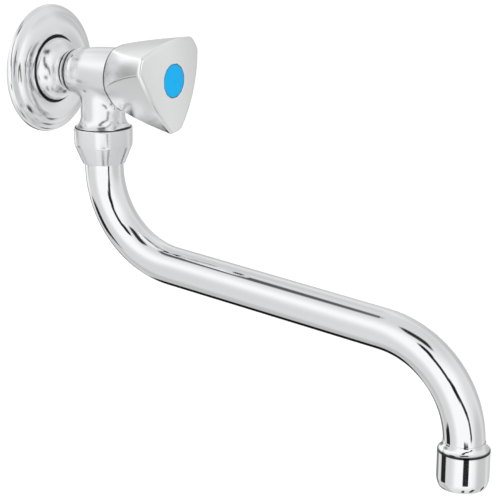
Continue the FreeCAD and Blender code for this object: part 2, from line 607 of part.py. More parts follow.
def handle_profile(inset, low, drop):
    """The handle before its sides are cut: a turned solid, taken in by inset and its face by drop."""
    face = HANDLE_FACE_OUT - drop
    corner_r = HANDLE_CORNER_R - inset
    rim = (HANDLE_RIM_R - inset, 0, low)
    corner = (corner_r, 0, face - face_sag(corner_r))
    flank_middle = ((rim[0] + corner[0]) / 2 + HANDLE_FLANK_BULGE, 0, (rim[2] + corner[2]) / 2)
    face_middle = (corner_r / 2, 0, face - face_sag(corner_r / 2))
    top = (0, 0, face)
    foot = (0, 0, low)
    solid = turned([arc(rim, flank_middle, corner), arc(corner, face_middle, top),
                    line(top, foot), line(foot, rim)])
    solid.rotate(ORIGIN, AXIS_Z, 90 + HANDLE_TURN_DEG)
    return solid


def handle_sides(inset, low):
    """The three-sided, slightly bulging prism, splayed towards the face, that the handle is cut to."""
    slope = HANDLE_SIDE_SPLAY / HANDLE_LENGTH
    high = HANDLE_FACE_OUT + 5

    def wire(height):
        side = HANDLE_SIDE_BACK - inset + slope * (height - HANDLE_RIM_OUT)
        curve_r = HANDLE_SIDE_R - inset
        setback = curve_r - side
        corner = (math.sqrt(4 * curve_r ** 2 - 3 * setback ** 2) - setback) / 2
        edges = []
        for k in range(3):
            turns = [math.radians(270 + HANDLE_TURN_DEG + 120 * k + step) for step in (0, 60, 120)]
            radii = [corner, side, corner]
            edges.append(arc(*[(r * math.cos(t), r * math.sin(t), height) for r, t in zip(radii, turns)]))
        return Part.Wire(edges)

    return Part.makeLoft([wire(low - 1), wire(high)], True, True)


def outer_edges(solid):
    """The handle's edges apart from those of its rim and the seam that runs to the axis."""
    found = []
    for edge in solid.Edges:
        box = edge.BoundBox
        on_rim = box.ZMax < HANDLE_RIM_OUT + 0.5
        at_axis = any(math.hypot(v.X, v.Y) < CAP_R for v in edge.Vertexes)
        if not on_rim and not at_axis:
            found.append(edge)
    return found


def handle_shell():
    """The hollow three-sided handle with its hub, ribs and recess for the index cap."""
    solid = handle_profile(0.0, HANDLE_RIM_OUT, 0.0).common(handle_sides(0.0, HANDLE_RIM_OUT))
    solid = solid.makeFillet(HANDLE_EDGE_R, outer_edges(solid))
    hollow = handle_profile(HANDLE_WALL, HANDLE_RIM_OUT - 1, HANDLE_FACE_THICK)
    hollow = hollow.common(handle_sides(HANDLE_WALL, HANDLE_RIM_OUT - 1))
    throat = rod(SPIGOT_R + HANDLE_THROAT_GAP, HANDLE_RIM_OUT - 1, HEADWORK_NECK_OUT)
    solid = solid.cut(hollow.fuse(throat))
    hub = rod(HANDLE_HUB_R, INSERT_OUT, HANDLE_CORNER_OUT)
    hub = hub.fuse(rod(CAP_R + CAP_RECESS_WALL, CAP_RECESS_OUT - CAP_RECESS_FLOOR, HANDLE_CORNER_OUT))
    rib_foot = INSERT_OUT + HANDLE_RIB_SETBACK
    for k in range(3):
        rib = Part.makeBox(HANDLE_CORNER_R, HANDLE_RIB_THICK, HANDLE_CORNER_OUT - rib_foot,
                           Vector(0, -HANDLE_RIB_THICK / 2, rib_foot))
        rib.rotate(ORIGIN, AXIS_Z, 270 + HANDLE_TURN_DEG + 120 * k)
        hub = hub.fuse(rib)
    inside = handle_profile(HANDLE_WALL / 2, HANDLE_RIM_OUT, HANDLE_FACE_THICK / 2)
    hub = hub.common(inside.common(handle_sides(HANDLE_WALL / 2, HANDLE_RIM_OUT)))
    solid = solid.fuse(hub)
    socket = prism(polygon(INSERT_HEX + 2 * FIT_GAP, 6), INSERT_OUT - 1, SHOULDER_OUT)
    passage = rod(SCREW_R + OPEN_GAP, SHOULDER_OUT - 1, SCREW_HEAD_OUT + 1)
    well = rod(SCREW_WELL_R, SCREW_HEAD_OUT, HANDLE_FACE_OUT + 1)
    recess = rod(CAP_R + CAP_GAP, CAP_RECESS_OUT, HANDLE_FACE_OUT + 1)
    return out(solid.cut(socket).cut(passage).cut(well).cut(recess))


def spline_insert():
    """The plastic bush between the spindle's spline and the handle's six-sided socket."""
    solid = prism(polygon(INSERT_HEX, 6), INSERT_OUT, SHOULDER_OUT)
    teeth = star(SPINDLE_SPLINE_R + FIT_GAP, SPINDLE_SPLINE_DEPTH, SPINDLE_SPLINE_TEETH)
    return out(solid.cut(prism(teeth, INSERT_OUT - 1, SHOULDER_OUT + 1)))


def handle_screw():
    head = rod(SCREW_HEAD_R, SCREW_HEAD_OUT, SCREW_HEAD_OUT + SCREW_HEAD)
    shank = rod(SCREW_R, SCREW_HEAD_OUT - SCREW_LENGTH, SCREW_HEAD_OUT)
    socket = prism(polygon(SCREW_KEY, 6), SCREW_HEAD_OUT + SCREW_SLOT, SCREW_HEAD_OUT + SCREW_HEAD + 1)
    return out(head.fuse(shank).cut(socket))


def index_cap():
    """The coloured disc that closes the handle's face, with the ring that clips it in."""
    back = CAP_RECESS_OUT + CAP_SKIRT_LENGTH
    crown = HANDLE_FACE_OUT - CAP_DROP
    face_r = CAP_R - CAP_EDGE_R
    rise = CAP_EDGE_R * (1 - math.sqrt(0.5))
    face_edge = (face_r, 0, crown - face_sag(face_r))
    face_middle = (face_r / 2, 0, crown - face_sag(face_r / 2))
    top = (0, 0, crown)
    side = (CAP_R, 0, face_edge[2] - CAP_EDGE_R)
    edge_middle = (CAP_R - rise, 0, face_edge[2] - rise)
    face = turned([arc(side, edge_middle, face_edge), arc(face_edge, face_middle, top),
                   line(top, (0, 0, back)), line((0, 0, back), (CAP_R, 0, back)),
                   line((CAP_R, 0, back), side)])
    skirt = ring(CAP_SKIRT_R - CAP_SKIRT_WALL, CAP_SKIRT_R, CAP_RECESS_OUT + FIT_GAP, back + CAP_EDGE_R)
    return out(face.fuse(skirt))


def union_nut():
    """The nut on the outlet: a round head that tapers, with six flats, to the tube."""
    edge = NUT_TOP_EDGE_R
    shoulder_z = OUTLET_END_Z - SLEEVE_FLANGE_THICK - SLIDE_RING_THICK - 2 * RUN_GAP
    bore = OUTLET_THREAD_R + FIT_GAP
    relief = OUTLET_END_Z - NUT_RELIEF
    corners = [(NUT_R, NUT_TOP_Z - edge), (NUT_R, NUT_CONE_TOP_Z), (NUT_BOTTOM_R, NUT_BOTTOM_Z),
               (NUT_HOLE_R, NUT_BOTTOM_Z), (NUT_HOLE_R, shoulder_z), (NUT_SHOULDER_R, shoulder_z),
               (NUT_SHOULDER_R, relief), (bore, relief), (bore, NUT_TOP_Z), (NUT_R - edge, NUT_TOP_Z)]
    points = [(r, 0, z) for r, z in corners]
    edges = [line(a, b) for a, b in zip(points, points[1:])]
    edges.append(swelling_arc(points[-1], points[0], edge * (1 - math.sqrt(0.5))))
    nut = turned(edges)

    def wire(flat, height):
        points = polygon(2 * flat, 6, NUT_TURN_DEG)
        return Part.makePolygon([Vector(x, y, height) for x, y in points + points[:1]])

    slope = (NUT_R - NUT_FLAT_BOTTOM) / (NUT_FLAT_TOP_Z - NUT_BOTTOM_Z)
    high = NUT_TOP_Z + 1
    top_flat = NUT_R + slope * (high - NUT_FLAT_TOP_Z)
    flats = Part.makeLoft([wire(NUT_FLAT_BOTTOM, NUT_BOTTOM_Z), wire(top_flat, high)], True, True)
    return down(nut.common(flats))


def spout_path():
    """The centre line of the tube: down, round to the front, along, and down again."""
    start = Vector(0, -OUTLET_OUT, SLEEVE_TOP_Z)
    bend_1 = Vector(0, -OUTLET_OUT, BEND_START_Z)
    centre_1 = Vector(0, -OUTLET_OUT - BEND_R, BEND_START_Z)
    half = BEND / 2
    middle_1 = centre_1 + Vector(0, BEND_R * math.cos(half), -BEND_R * math.sin(half))
    end_1 = Vector(0, -OUTLET_OUT - BEND_REACH, STRAIGHT_TOP_Z)
    end_2 = Vector(0, -NOZZLE_OUT + BEND_REACH, STRAIGHT_END_Z)
    centre_2 = Vector(0, -NOZZLE_OUT + BEND_R, BEND_END_Z)
    middle_2 = centre_2 + Vector(0, -BEND_R * math.cos(half), BEND_R * math.sin(half))
    bend_2 = Vector(0, -NOZZLE_OUT, BEND_END_Z)
    tail = Vector(0, -NOZZLE_OUT, BEND_END_Z - SPOUT_TAIL)
    return Part.Wire([Part.makeLine(start, bend_1), Part.Arc(bend_1, middle_1, end_1).toShape(),
                      Part.makeLine(end_1, end_2), Part.Arc(end_2, middle_2, bend_2).toShape(),
                      Part.makeLine(bend_2, tail)])


def spout_tube():
    path = spout_path()

    def swept(radius):
        circle = Part.Wire(Part.makeCircle(radius, Vector(0, -OUTLET_OUT, SLEEVE_TOP_Z), AXIS_Z))
        return path.makePipeShell([circle], True, False)

    tube = swept(TUBE_R).cut(swept(TUBE_R - TUBE_WALL))
    print("tube length", round(path.Length, 1), "volume", round(tube.Volume, 1), "expected",
          round(path.Length * math.pi * (TUBE_R ** 2 - (TUBE_R - TUBE_WALL) ** 2), 1))
    return tube


def sleeve_grooves():
    """The heights at which the spout sleeve's two seal grooves begin."""
    land = (SLEEVE_TOP_Z - OUTLET_END_Z - 2 * SLEEVE_GROOVE) / 3
    first = OUTLET_END_Z + land
    return [first, first + SLEEVE_GROOVE + land]


def spout_sleeve():
    """The turned end brazed on the tube; its flange hangs the spout in the union nut."""
    flange_z = OUTLET_END_Z - RUN_GAP
    solid = ring(TUBE_R, SLEEVE_R, flange_z - SLEEVE_FLANGE_THICK, SLEEVE_TOP_Z)
    solid = solid.fuse(ring(TUBE_R, SLEEVE_FLANGE_R, flange_z - SLEEVE_FLANGE_THICK, flange_z))
    for low in sleeve_grooves():
        solid = solid.cut(ring(SLEEVE_R - SLEEVE_GROOVE_DEPTH, SLEEVE_R + 1, low, low + SLEEVE_GROOVE))
    return down(solid)


def spout_seal_rings():
    section = SLEEVE_RING_SECTION / 2
    middle = SLEEVE_R - SLEEVE_GROOVE_DEPTH + FIT_GAP + section
    rings = [torus(middle, section, low + SLEEVE_GROOVE / 2) for low in sleeve_grooves()]
    return down(Part.makeCompound(rings))


def slide_ring():
    """The plastic ring that the sleeve's flange turns on inside the nut."""
    top = OUTLET_END_Z - RUN_GAP - SLEEVE_FLANGE_THICK - RUN_GAP
    return down(ring(TUBE_R + RUN_GAP, NUT_SHOULDER_R - RUN_GAP, top - SLIDE_RING_THICK, top))


def nozzle_socket():
    """The flared end brazed on the tube, with the thread that the aerator screws on to."""
    neck = TUBE_R + NOZZLE_NECK_WALL
    edge = AERATOR_RIM_GAP
    bore = TUBE_R + FIT_GAP
    seat = BEND_END_Z - SPOUT_TAIL - FIT_GAP
    corners = [(NOZZLE_R - edge, NOZZLE_RIM_Z + 2 * edge), (NOZZLE_R, NOZZLE_RIM_Z + edge),
               (NOZZLE_R, NOZZLE_RIM_Z), (NOZZLE_THREAD_R, NOZZLE_RIM_Z),
               (NOZZLE_THREAD_R, NOZZLE_END_Z), (NOZZLE_BORE_R, NOZZLE_END_Z), (NOZZLE_BORE_R, seat),
               (bore, seat), (bore, NOZZLE_FLARE_TOP_Z), (neck, NOZZLE_FLARE_TOP_Z)]
    points = [(r, 0, z) for r, z in corners]
    edges = [line(a, b) for a, b in zip(points, points[1:])]
    edges.append(swelling_arc(points[-1], points[0], -NOZZLE_STEP / 4))
    return down(turned(edges), NOZZLE_OUT)


def aerator_housing():
    """The screwed cap: a round shell that draws in towards the lip that holds the cartridge."""
    bore = NOZZLE_THREAD_R + FIT_GAP
    cup = CARTRIDGE_R + FIT_GAP
    curve_z = AERATOR_END_Z + AERATOR_FOOT_CURVE
    edge = AERATOR_FOOT_ROUND
    corners = [(AERATOR_FOOT_R + edge / 2, AERATOR_END_Z + edge), (AERATOR_FOOT_R - edge, AERATOR_END_Z),
               (AERATOR_LIP_R, AERATOR_END_Z), (AERATOR_LIP_R, CARTRIDGE_END_Z), (cup, CARTRIDGE_END_Z),
               (cup, SCREEN_Z), (bore, SCREEN_Z), (bore, AERATOR_TOP_Z), (NOZZLE_R - edge / 2, AERATOR_TOP_Z),
               (NOZZLE_R, AERATOR_TOP_Z - edge / 2), (NOZZLE_R, curve_z)]
    points = [(r, 0, z) for r, z in corners]
    edges = [line(a, b) for a, b in zip(points, points[1:])]
    edges.append(swelling_arc(points[-1], points[0], edge / 1.5))
    return down(turned(edges), NOZZLE_OUT)


def aerator_washer():
    return down(ring(NOZZLE_BORE_R, NOZZLE_THREAD_R - FIT_GAP, WASHER_RING_Z, NOZZLE_END_Z), NOZZLE_OUT)


def aerator_screen():
    """The perforated disc over the cartridge that keeps grit out."""
    disc = rod(SCREEN_R, SCREEN_Z, WASHER_RING_Z)
    cuts = holes(SCREEN_HOLE_R, SCREEN_HOLE_PITCH, NOZZLE_BORE_R, SCREEN_Z - 1, WASHER_RING_Z + 1)
    return down(disc.cut(cuts), NOZZLE_OUT)


def aerator_cartridge():
    """The plastic insert: a cup with a drilled plate above and the outlet grid below."""
    low = CARTRIDGE_END_Z + FIT_GAP
    high = SCREEN_Z
    inner = CARTRIDGE_R - CARTRIDGE_WALL
    middle = CARTRIDGE_R - CARTRIDGE_WALL / 2
    cup = ring(inner, CARTRIDGE_R, low, high)
    grid = rod(middle, low, low + CARTRIDGE_GRID_THICK)
    grid = grid.cut(holes(CARTRIDGE_HOLE_R, CARTRIDGE_HOLE_PITCH, inner, low - 1,
                          low + CARTRIDGE_GRID_THICK + 1))
    plate_top = high - CARTRIDGE_PLATE_DROP
    plate = rod(middle, plate_top - CARTRIDGE_PLATE_THICK, plate_top)
    plate = plate.cut(holes(SCREEN_HOLE_R, 2 * SCREEN_HOLE_PITCH, inner - OPEN_GAP, low, high + 1))
    return down(cup.fuse(grid).fuse(plate).removeSplitter(), NOZZLE_OUT)


NODES = {
    "valve_body": valve_body,
    "wall_rosette": wall_rosette,
    "rosette_gasket": rosette_gasket,
    "headwork_gasket": headwork_gasket,
    "headwork_housing": headwork_housing,
    "valve_piston": valve_piston,
    "seat_washer": seat_washer,
    "washer_screw": washer_screw,
    "spindle": spindle,
    "spindle_seal_rings": spindle_seal_rings,
    "spindle_clip": spindle_clip,
    "handle_shell": handle_shell,
    "spline_insert": spline_insert,
    "handle_screw": handle_screw,
    "index_cap": index_cap,
    "union_nut": union_nut,
    "slide_ring": slide_ring,
    "spout_tube": spout_tube,
    "spout_sleeve": spout_sleeve,
    "spout_seal_rings": spout_seal_rings,
    "nozzle_socket": nozzle_socket,
    "aerator_housing": aerator_housing,
    "aerator_washer": aerator_washer,
    "aerator_screen": aerator_screen,
    "aerator_cartridge": aerator_cartridge,
}

os.makedirs("parts", exist_ok=True)
for name, make in NODES.items():
    shape = make()
    whole = shape.isValid() and all(s.Volume > 0 for s in shape.Solids)
    print(name, "solids", len(shape.Solids), "volume", round(shape.Volume, 1), "ok" if whole else "BAD")
    shape.exportStep("parts/" + name + ".step")
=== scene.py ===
import json
import math

import bpy
from mathutils import Matrix, Vector


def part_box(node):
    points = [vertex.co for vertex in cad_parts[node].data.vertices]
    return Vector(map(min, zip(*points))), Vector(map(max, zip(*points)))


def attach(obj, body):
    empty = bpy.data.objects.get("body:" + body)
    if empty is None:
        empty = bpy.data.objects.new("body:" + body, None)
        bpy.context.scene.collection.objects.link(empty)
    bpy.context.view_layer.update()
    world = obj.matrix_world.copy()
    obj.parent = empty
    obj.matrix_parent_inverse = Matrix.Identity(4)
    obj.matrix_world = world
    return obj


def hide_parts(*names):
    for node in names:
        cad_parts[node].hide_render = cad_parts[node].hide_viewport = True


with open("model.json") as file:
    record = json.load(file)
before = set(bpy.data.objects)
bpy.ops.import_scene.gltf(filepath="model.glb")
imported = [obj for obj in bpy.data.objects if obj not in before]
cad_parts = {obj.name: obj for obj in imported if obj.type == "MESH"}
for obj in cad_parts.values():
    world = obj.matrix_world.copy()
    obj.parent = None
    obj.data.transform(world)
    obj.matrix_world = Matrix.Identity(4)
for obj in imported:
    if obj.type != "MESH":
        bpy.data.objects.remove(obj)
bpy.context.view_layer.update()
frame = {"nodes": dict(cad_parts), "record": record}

NODES = frame["nodes"]
MM = 0.001

# Sizes of the tap that the looks follow, in millimetres. "Out" is the distance from the wall, along -Y;
# the valve's axis lies at x = 0, z = 0, and the outlet's axis is upright at OUTLET_OUT. Outlines are
# (radius, height, rounding) corners, their height out from the wall, or upright for nut and outlet.
OUTLET_OUT = 31.9
OUTLET_LIP_Z = -25.0
BARREL_END_OUT = 42.9
CHAMBER_R = 9.4             # the headwork's chamber, from the seat washer outwards
CHAMBER_END_OUT = 46
INLET_BORE_R = 6.0
INLET_BORE_OUT = 10         # where the inlet's bore starts
SEAT_OVERLAP = 2            # how far it reaches into the chamber
OUTLET_BORE = (7.6, -28, -4)    # radius, start and end

TEE_START_OUT = 12.8
NECK_GROOVES = ((13.9, 9.95, 0.80), (16.8, 10.65, 0.85))    # out, ring radius, section radius
NECK_BEAD = (19.8, 10.15, 1.10)
HALF_RING_LOW_Z = -4.5      # the rings stop here, on the outlet's side
TEE_VOXEL = 0.33
TEE_RELAXING = 32           # rounds of smoothing
# Rods that fill the body before it gets its new skin: radius, start and end along their axis.
BORE_PLUGS = ((7.0, -14, 45), (9.9, 20.3, 36), (11.0, 33, 45.1), (12.6, 41.6, 46))
OUTLET_PLUGS = ((8.6, -31.8, -2), (11.6, -31.8, -24.2))

COLLAR_EDGE = ((6.0, 2.6, 0), (14.9, 2.6, 0.35), (14.9, 4.5, 0))
COLLAR_RIM = (14.9, 4.5)    # where the dome starts and ends, as radius and height
COLLAR_TOP = (9.7, 11.5)
COLLAR_SWELL = 1.25
COLLAR_NECK = ((9.7, 11.5, 0), (9.0, 12.0, 0.3), (9.1, 14.0, 0), (6.0, 14.0, 0))

OUTLET_END = ((7.6, -24.6, 0), (13.0, -24.9, 0), (13.2, -25.4, 0.2), (13.2, -31.8, 0.3),
              (11.2, -31.8, 0.2), (11.2, -25.2, 0), (7.6, -25.2, 0))
HEADWORK_SEAT = ((10.5, 42.0, 0), (11.4, 42.0, 0), (11.4, 45.1, 0.25), (10.5, 45.1, 0))

THREAD_PITCH = 1.814
THREAD_CREST_R = 10.48
THREAD_ROOT_R = 9.38
THREAD_FLANK = 0.66         # length of a flank along the axis
THREAD_ROOT_FLAT = 0.16
THREAD_CREST_FLAT = 0.20
THREAD_TURNS = 12
THREAD_STEPS = 96           # in one turn
THREAD_START = -16.5        # its ends are sliced off afterwards
SHANK_FRONT_OUT = 3.2       # the thread is sliced off here
SHANK_BACK_OUT = -14.2      # and here
SHANK = ((6.0, -14.0, 0.4), (9.68, -14.0, 0), (10.48, -13.2, 0), (10.48, 0.4, 0), (9.5, 1.4, 0),
         (9.5, 3.0, 0), (6.0, 3.0, 0))

# The cover plate's sheet, as radius and height: the outer side from its rim to the recess, then the back.
PLATE_SKIN = ((30.0, 0.0), (30.0, 0.9), (29.6, 1.9), (28.7, 2.6), (27.3, 3.0), (26.2, 3.5), (25.1, 4.4),
              (23.8, 5.2), (22.2, 5.65), (20.4, 5.7), (18.6, 5.5), (17.2, 5.2), (16.3, 4.9))
PLATE_BACK = ((15.95, 4.5), (15.9, 4.2), (15.9, 2.6), (10.88, 2.6), (10.88, 1.8), (15.1, 1.8),
              (15.1, 4.0), (16.9, 4.5), (18.9, 5.0), (20.9, 5.3), (22.6, 5.2), (23.8, 4.6),
              (24.8, 3.4), (25.6, 2.7), (27.2, 2.3), (28.6, 1.7), (29.1, 0.9), (29.2, 0.0))
PLATE_RECESS_R = 15.94      # the faces within it are painted near-black as shade
PLATE_TOP_OUT = 5.6         # so are those below it that look at the wall

NUT = ((15.1, -25.2, 0), (15.75, -25.2, 0.5), (15.6, -33.0, 3.5), (11.3, -42.0, 0.4), (10.8, -42.0, 0))
NUT_CORNER = 4.4            # size of the rounding at its corners
NUT_TURN = 6.5              # degrees
NUT_THREAD_BORE = (13.25, -33.0, -24.0)     # radius, start and end
NUT_SHOULDER_R = 12.5
NUT_SHOULDER_TOP = -30.0
NUT_HOLE = (9.2, -44.0, -30.0)

HANDLE_RIM_LINE_OUT = 43.6  # the near-black line painted as shade where the handle meets the barrel
HANDLE_BOSS_R = 8.6         # the cap's recess and the boss stay crisp
HANDLE_VOXEL = 0.43
HANDLE_RELAXING = 11
# a near-black ring is painted here as shade in the gap at the nozzle's rim
NOZZLE_RIM_Z = -144.3


# ---------------------------------------------------------------- camera

CAMERA_TURN = -57.278       # degrees, from looking straight at the wall
CAMERA_RISE = 15.58         # degrees above level
CAMERA_LENS = 107.438       # millimetres, on a sensor 36 mm wide
CAMERA_PLACE = Vector((-0.54365, -0.46307, 0.10723))    # metres


def set_camera():
    """A long lens a little above the tap, looking at it from its left front."""
    turn = math.radians(CAMERA_TURN)
    rise = math.radians(CAMERA_RISE)
    back = Vector((math.sin(turn) * math.cos(rise), -math.cos(turn) * math.cos(rise), math.sin(rise)))
    right = Vector((math.cos(turn), math.sin(turn), 0))
    up = back.cross(right)
    data = bpy.data.cameras.new("camera")
    data.sensor_width = 36
    data.lens = CAMERA_LENS
    data.clip_start = 0.01
    data.clip_end = 50
    camera = bpy.data.objects.new("camera", data)
    bpy.context.scene.collection.objects.link(camera)
    pose = Matrix((right, up, back)).transposed().to_4x4()
    pose.translation = CAMERA_PLACE
    camera.matrix_world = pose
    bpy.context.scene.camera = camera


# ---------------------------------------------------------------- node helpers

def add(tree, kind, **values):
    node = tree.nodes.new(kind)
    for key, value in values.items():
        setattr(node, key, value)
    return node


def feed(tree, socket, value):
    """Joins a socket to another, or sets it to a plain value."""
    if isinstance(value, bpy.types.NodeSocket):
        tree.links.new(value, socket)
    else:
        socket.default_value = value


def math_node(tree, operation, a, b=None):
    node = add(tree, "ShaderNodeMath", operation=operation)
    feed(tree, node.inputs[0], a)
    if b is not None:
        feed(tree, node.inputs[1], b)
    return node.outputs[0]


def dot_with(tree, direction, fixed):
    node = add(tree, "ShaderNodeVectorMath", operation="DOT_PRODUCT")
    tree.links.new(direction, node.inputs[0])
    node.inputs[1].default_value = fixed
    return node.outputs["Value"]


def smooth_range(tree, value, low, high, first=0.0, last=1.0):
    node = add(tree, "ShaderNodeMapRange", interpolation_type="SMOOTHSTEP", clamp=True)
    for name, item in (("Value", value), ("From Min", low), ("From Max", high),
                       ("To Min", first), ("To Max", last)):
        feed(tree, node.inputs[name], item)
    return node.outputs["Result"]


def mix_colours(tree, factor, first, second):
    node = add(tree, "ShaderNodeMix", data_type="RGBA")
    feed(tree, node.inputs[0], factor)
    feed(tree, node.inputs[6], first)
    feed(tree, node.inputs[7], second)
    return node.outputs[2]


# ---------------------------------------------------------------- studio

def compass(az, el):
    """A direction: az from straight out of the wall towards +X, el above the horizon, in degrees."""
    a, e = math.radians(az), math.radians(el)
    return Vector((math.sin(a) * math.cos(e), -math.cos(a) * math.cos(e), math.sin(e)))


def strip(tree, direction, start, end, half_width, soft, depth):
    """A dark strip along the great circle from start to end: depth inside, 0 outside."""
    a, b = compass(*start), compass(*end)
    across = a.cross(b).normalized()
    middle = (a + b).normalized()
    reach = math.degrees(math.acos(min(1.0, middle.dot(a))))
    off = math_node(tree, "ABSOLUTE", dot_with(tree, direction, across))
    width = math.sin(math.radians(half_width))
    edge = math.sin(math.radians(half_width + soft))
    side = smooth_range(tree, off, width, edge, depth, 0.0)
    inner = math.cos(math.radians(reach))
    outer = math.cos(math.radians(reach + soft))
    along = smooth_range(tree, dot_with(tree, direction, middle), outer, inner)
    return math_node(tree, "MULTIPLY", side, along)


def patch(tree, direction, centre, radius, soft, depth):
    """A round dark patch: depth within radius of its centre, fading to 0 over soft degrees more."""
    inner = math.cos(math.radians(radius))
    outer = math.cos(math.radians(radius + soft))
    return smooth_range(tree, dot_with(tree, direction, compass(*centre)), outer, inner, 0.0, depth)


# Black cards that the metal mirrors: start and end as (az, el), half width, soft edge, depth.
BLACK_CARDS = (
    # the dark line that runs down the bends and the upright part of the tube
    ((-71, 45), (-69, 34), 9.0, 3.0, 1.05),
    ((-69, 34), (-58, 18), 4.5, 3.0, 1.04),
    ((-58, 18), (-46, 11), 6.5, 3.0, 1.05),
    ((-46, 11), (-30, 0), 3.2, 3.0, 1.02),
    ((-30, 0), (-25, -16), 3.0, 2.5, 1.00),
    # the short dark stroke on top of the second bend
    ((-88, 64), (-36, 60), 5.5, 5.0, 1.02),
    # the two upright bands on the end cap
    ((-65, -23.5), (-42, -23.5), 4.0, 1.5, 1.04),
    ((-174, -23.5), (-147, -23.5), 4.0, 1.5, 1.03),
    # dark marks on the nut's cone
    ((-60, -58), (-60, -74), 3.0, 2.5, 1.0),
    ((-4, -50), (-4, -66), 5.0, 3.0, 1.0),
    # the black line under the tube, and the thin outlines at its sides
    ((124, -18), (134, -40), 5.0, 5.0, 0.98),
    ((134, -40), (160, -57), 7.0, 4.0, 1.05),
    ((148, -30), (148, -8), 7.0, 9.0, 0.80),
    # the rosette's lower rim
    ((50, -40), (66, -44), 4.0, 3.0, 1.0),
)
# Round grey sides of the tent: centre as (az, el), radius, soft edge, depth.
GREY_SIDES = (
    ((45, -4), 36.0, 46.0, 0.25),
    ((20, -22), 8.0, 26.0, 0.22),
    ((96, 4), 20.0, 30.0, 0.28),
    ((-140, -14), 12.0, 34.0, 0.30),
    ((-168, 3), 7.0, 14.0, 0.58),
    ((132, 12), 4.0, 16.0, 0.30),
    ((176, -46), 12.0, 22.0, 0.34),
    ((122, -16), 9.0, 9.0, 0.72),
    ((0, 90), 10.0, 50.0, 0.30),
    ((0, -90), 15.0, 45.0, 0.25),
    ((-160, 64), 4.5, 7.0, 0.86),
    ((140, 44), 8.0, 14.0, 0.22),
)
TENT_LEVEL = 1.06           # what the metal mirrors where there is no card
ROOM_LEVEL = 0.85           # what lights the dull surfaces
FLOOR_Z = -0.42             # metres, clear of the spout's mouth
FLOOR_GLOW = 0.30


def set_studio():
    """White tent round the tap, with a few black cards and grey sides that only the metal sees."""
    world = bpy.data.worlds.new("studio")
    bpy.context.scene.world = world
    world.use_nodes = True
    tree = world.node_tree
    tree.nodes.clear()
    coordinates = add(tree, "ShaderNodeTexCoord")
    direction = coordinates.outputs["Generated"]
    dark = None
    for spec in BLACK_CARDS:
        one = strip(tree, direction, *spec)
        dark = one if dark is None else math_node(tree, "MAXIMUM", dark, one)
    level = math_node(tree, "SUBTRACT", TENT_LEVEL, dark)
    for spec in GREY_SIDES:
        lit = math_node(tree, "SUBTRACT", 1.0, patch(tree, direction, *spec))
        level = math_node(tree, "MULTIPLY", level, lit)
    rays = add(tree, "ShaderNodeLightPath")
    backgrounds = []
    for strength in (1.0, level, ROOM_LEVEL):
        node = add(tree, "ShaderNodeBackground")
        node.inputs["Color"].default_value = (1, 1, 1, 1)
        feed(tree, node.inputs["Strength"], strength)
        backgrounds.append(node)
    seen, shone, plain = backgrounds
    first = add(tree, "ShaderNodeMixShader")
    tree.links.new(rays.outputs["Is Glossy Ray"], first.inputs[0])
    tree.links.new(plain.outputs[0], first.inputs[1])
    tree.links.new(shone.outputs[0], first.inputs[2])
    second = add(tree, "ShaderNodeMixShader")
    tree.links.new(rays.outputs["Is Camera Ray"], second.inputs[0])
    tree.links.new(first.outputs[0], second.inputs[1])
    tree.links.new(seen.outputs[0], second.inputs[2])
    output = add(tree, "ShaderNodeOutputWorld")
    tree.links.new(second.outputs[0], output.inputs["Surface"])


def set_floor():
    """The pale floor; shiny metal looks through it to the studio."""
    start_piece()
    bpy.ops.mesh.primitive_plane_add(size=12, location=(0, 0, FLOOR_Z))
    floor = bpy.context.object
    floor.name = "floor"
    bpy.ops.object.transform_apply(location=True)
    material = bpy.data.materials.new("pale_floor")
    material.use_nodes = True
    tree = material.node_tree
    tree.nodes.clear()
    paint = add(tree, "ShaderNodeBsdfDiffuse")
    paint.inputs["Color"].default_value = (0.9, 0.9, 0.9, 1)
    glow = add(tree, "ShaderNodeEmission")
    glow.inputs["Strength"].default_value = FLOOR_GLOW
    rays = add(tree, "ShaderNodeLightPath")
    both = add(tree, "ShaderNodeAddShader")
    tree.links.new(paint.outputs[0], both.inputs[0])
    tree.links.new(glow.outputs[0], both.inputs[1])
    clear = add(tree, "ShaderNodeBsdfTransparent")
    mix = add(tree, "ShaderNodeMixShader")
    tree.links.new(rays.outputs["Is Glossy Ray"], mix.inputs[0])
    tree.links.new(both.outputs[0], mix.inputs[1])
    tree.links.new(clear.outputs[0], mix.inputs[2])
    output = add(tree, "ShaderNodeOutputMaterial")
    tree.links.new(mix.outputs[0], output.inputs["Surface"])
    floor.data.materials.append(material)


def set_lamps():
    """One large soft box from the upper left; the metal mirrors the tent, not the lamp."""
    data = bpy.data.lights.new("soft_box", "AREA")
    data.shape = "RECTANGLE"
    data.size = 1.2
    data.size_y = 0.8
    data.energy = 6
    lamp = bpy.data.objects.new("soft_box", data)
    bpy.context.scene.collection.objects.link(lamp)
    spot = Vector((-1.2, -1.4, 1.6))
    aim = Vector((0, -0.1, -0.05))
    lamp.location = spot
    lamp.rotation_euler = (aim - spot).to_track_quat("-Z", "Y").to_euler()
    lamp.visible_glossy = False


# ---------------------------------------------------------------- shared effects

def group(name, inputs, outputs):
    """A node group with named sockets, and its two end nodes."""
    tree = bpy.data.node_groups.new(name, "ShaderNodeTree")
    kinds = {"V": "NodeSocketVector", "F": "NodeSocketFloat"}
    for label, kind, value in inputs:
        socket = tree.interface.new_socket(name=label, in_out="INPUT", socket_type=kinds[kind])
        if value is not None:
            socket.default_value = value
    for label, kind in outputs:
        tree.interface.new_socket(name=label, in_out="OUTPUT", socket_type=kinds[kind])
    return tree, add(tree, "NodeGroupInput"), add(tree, "NodeGroupOutput")


def noise(tree, vector, scale, detail=3.0, rough=0.5):
    node = add(tree, "ShaderNodeTexNoise")
    feed(tree, node.inputs["Vector"], vector)
    feed(tree, node.inputs["Scale"], scale)
    node.inputs["Detail"].default_value = detail
    node.inputs["Roughness"].default_value = rough
    return node.outputs["Fac"]


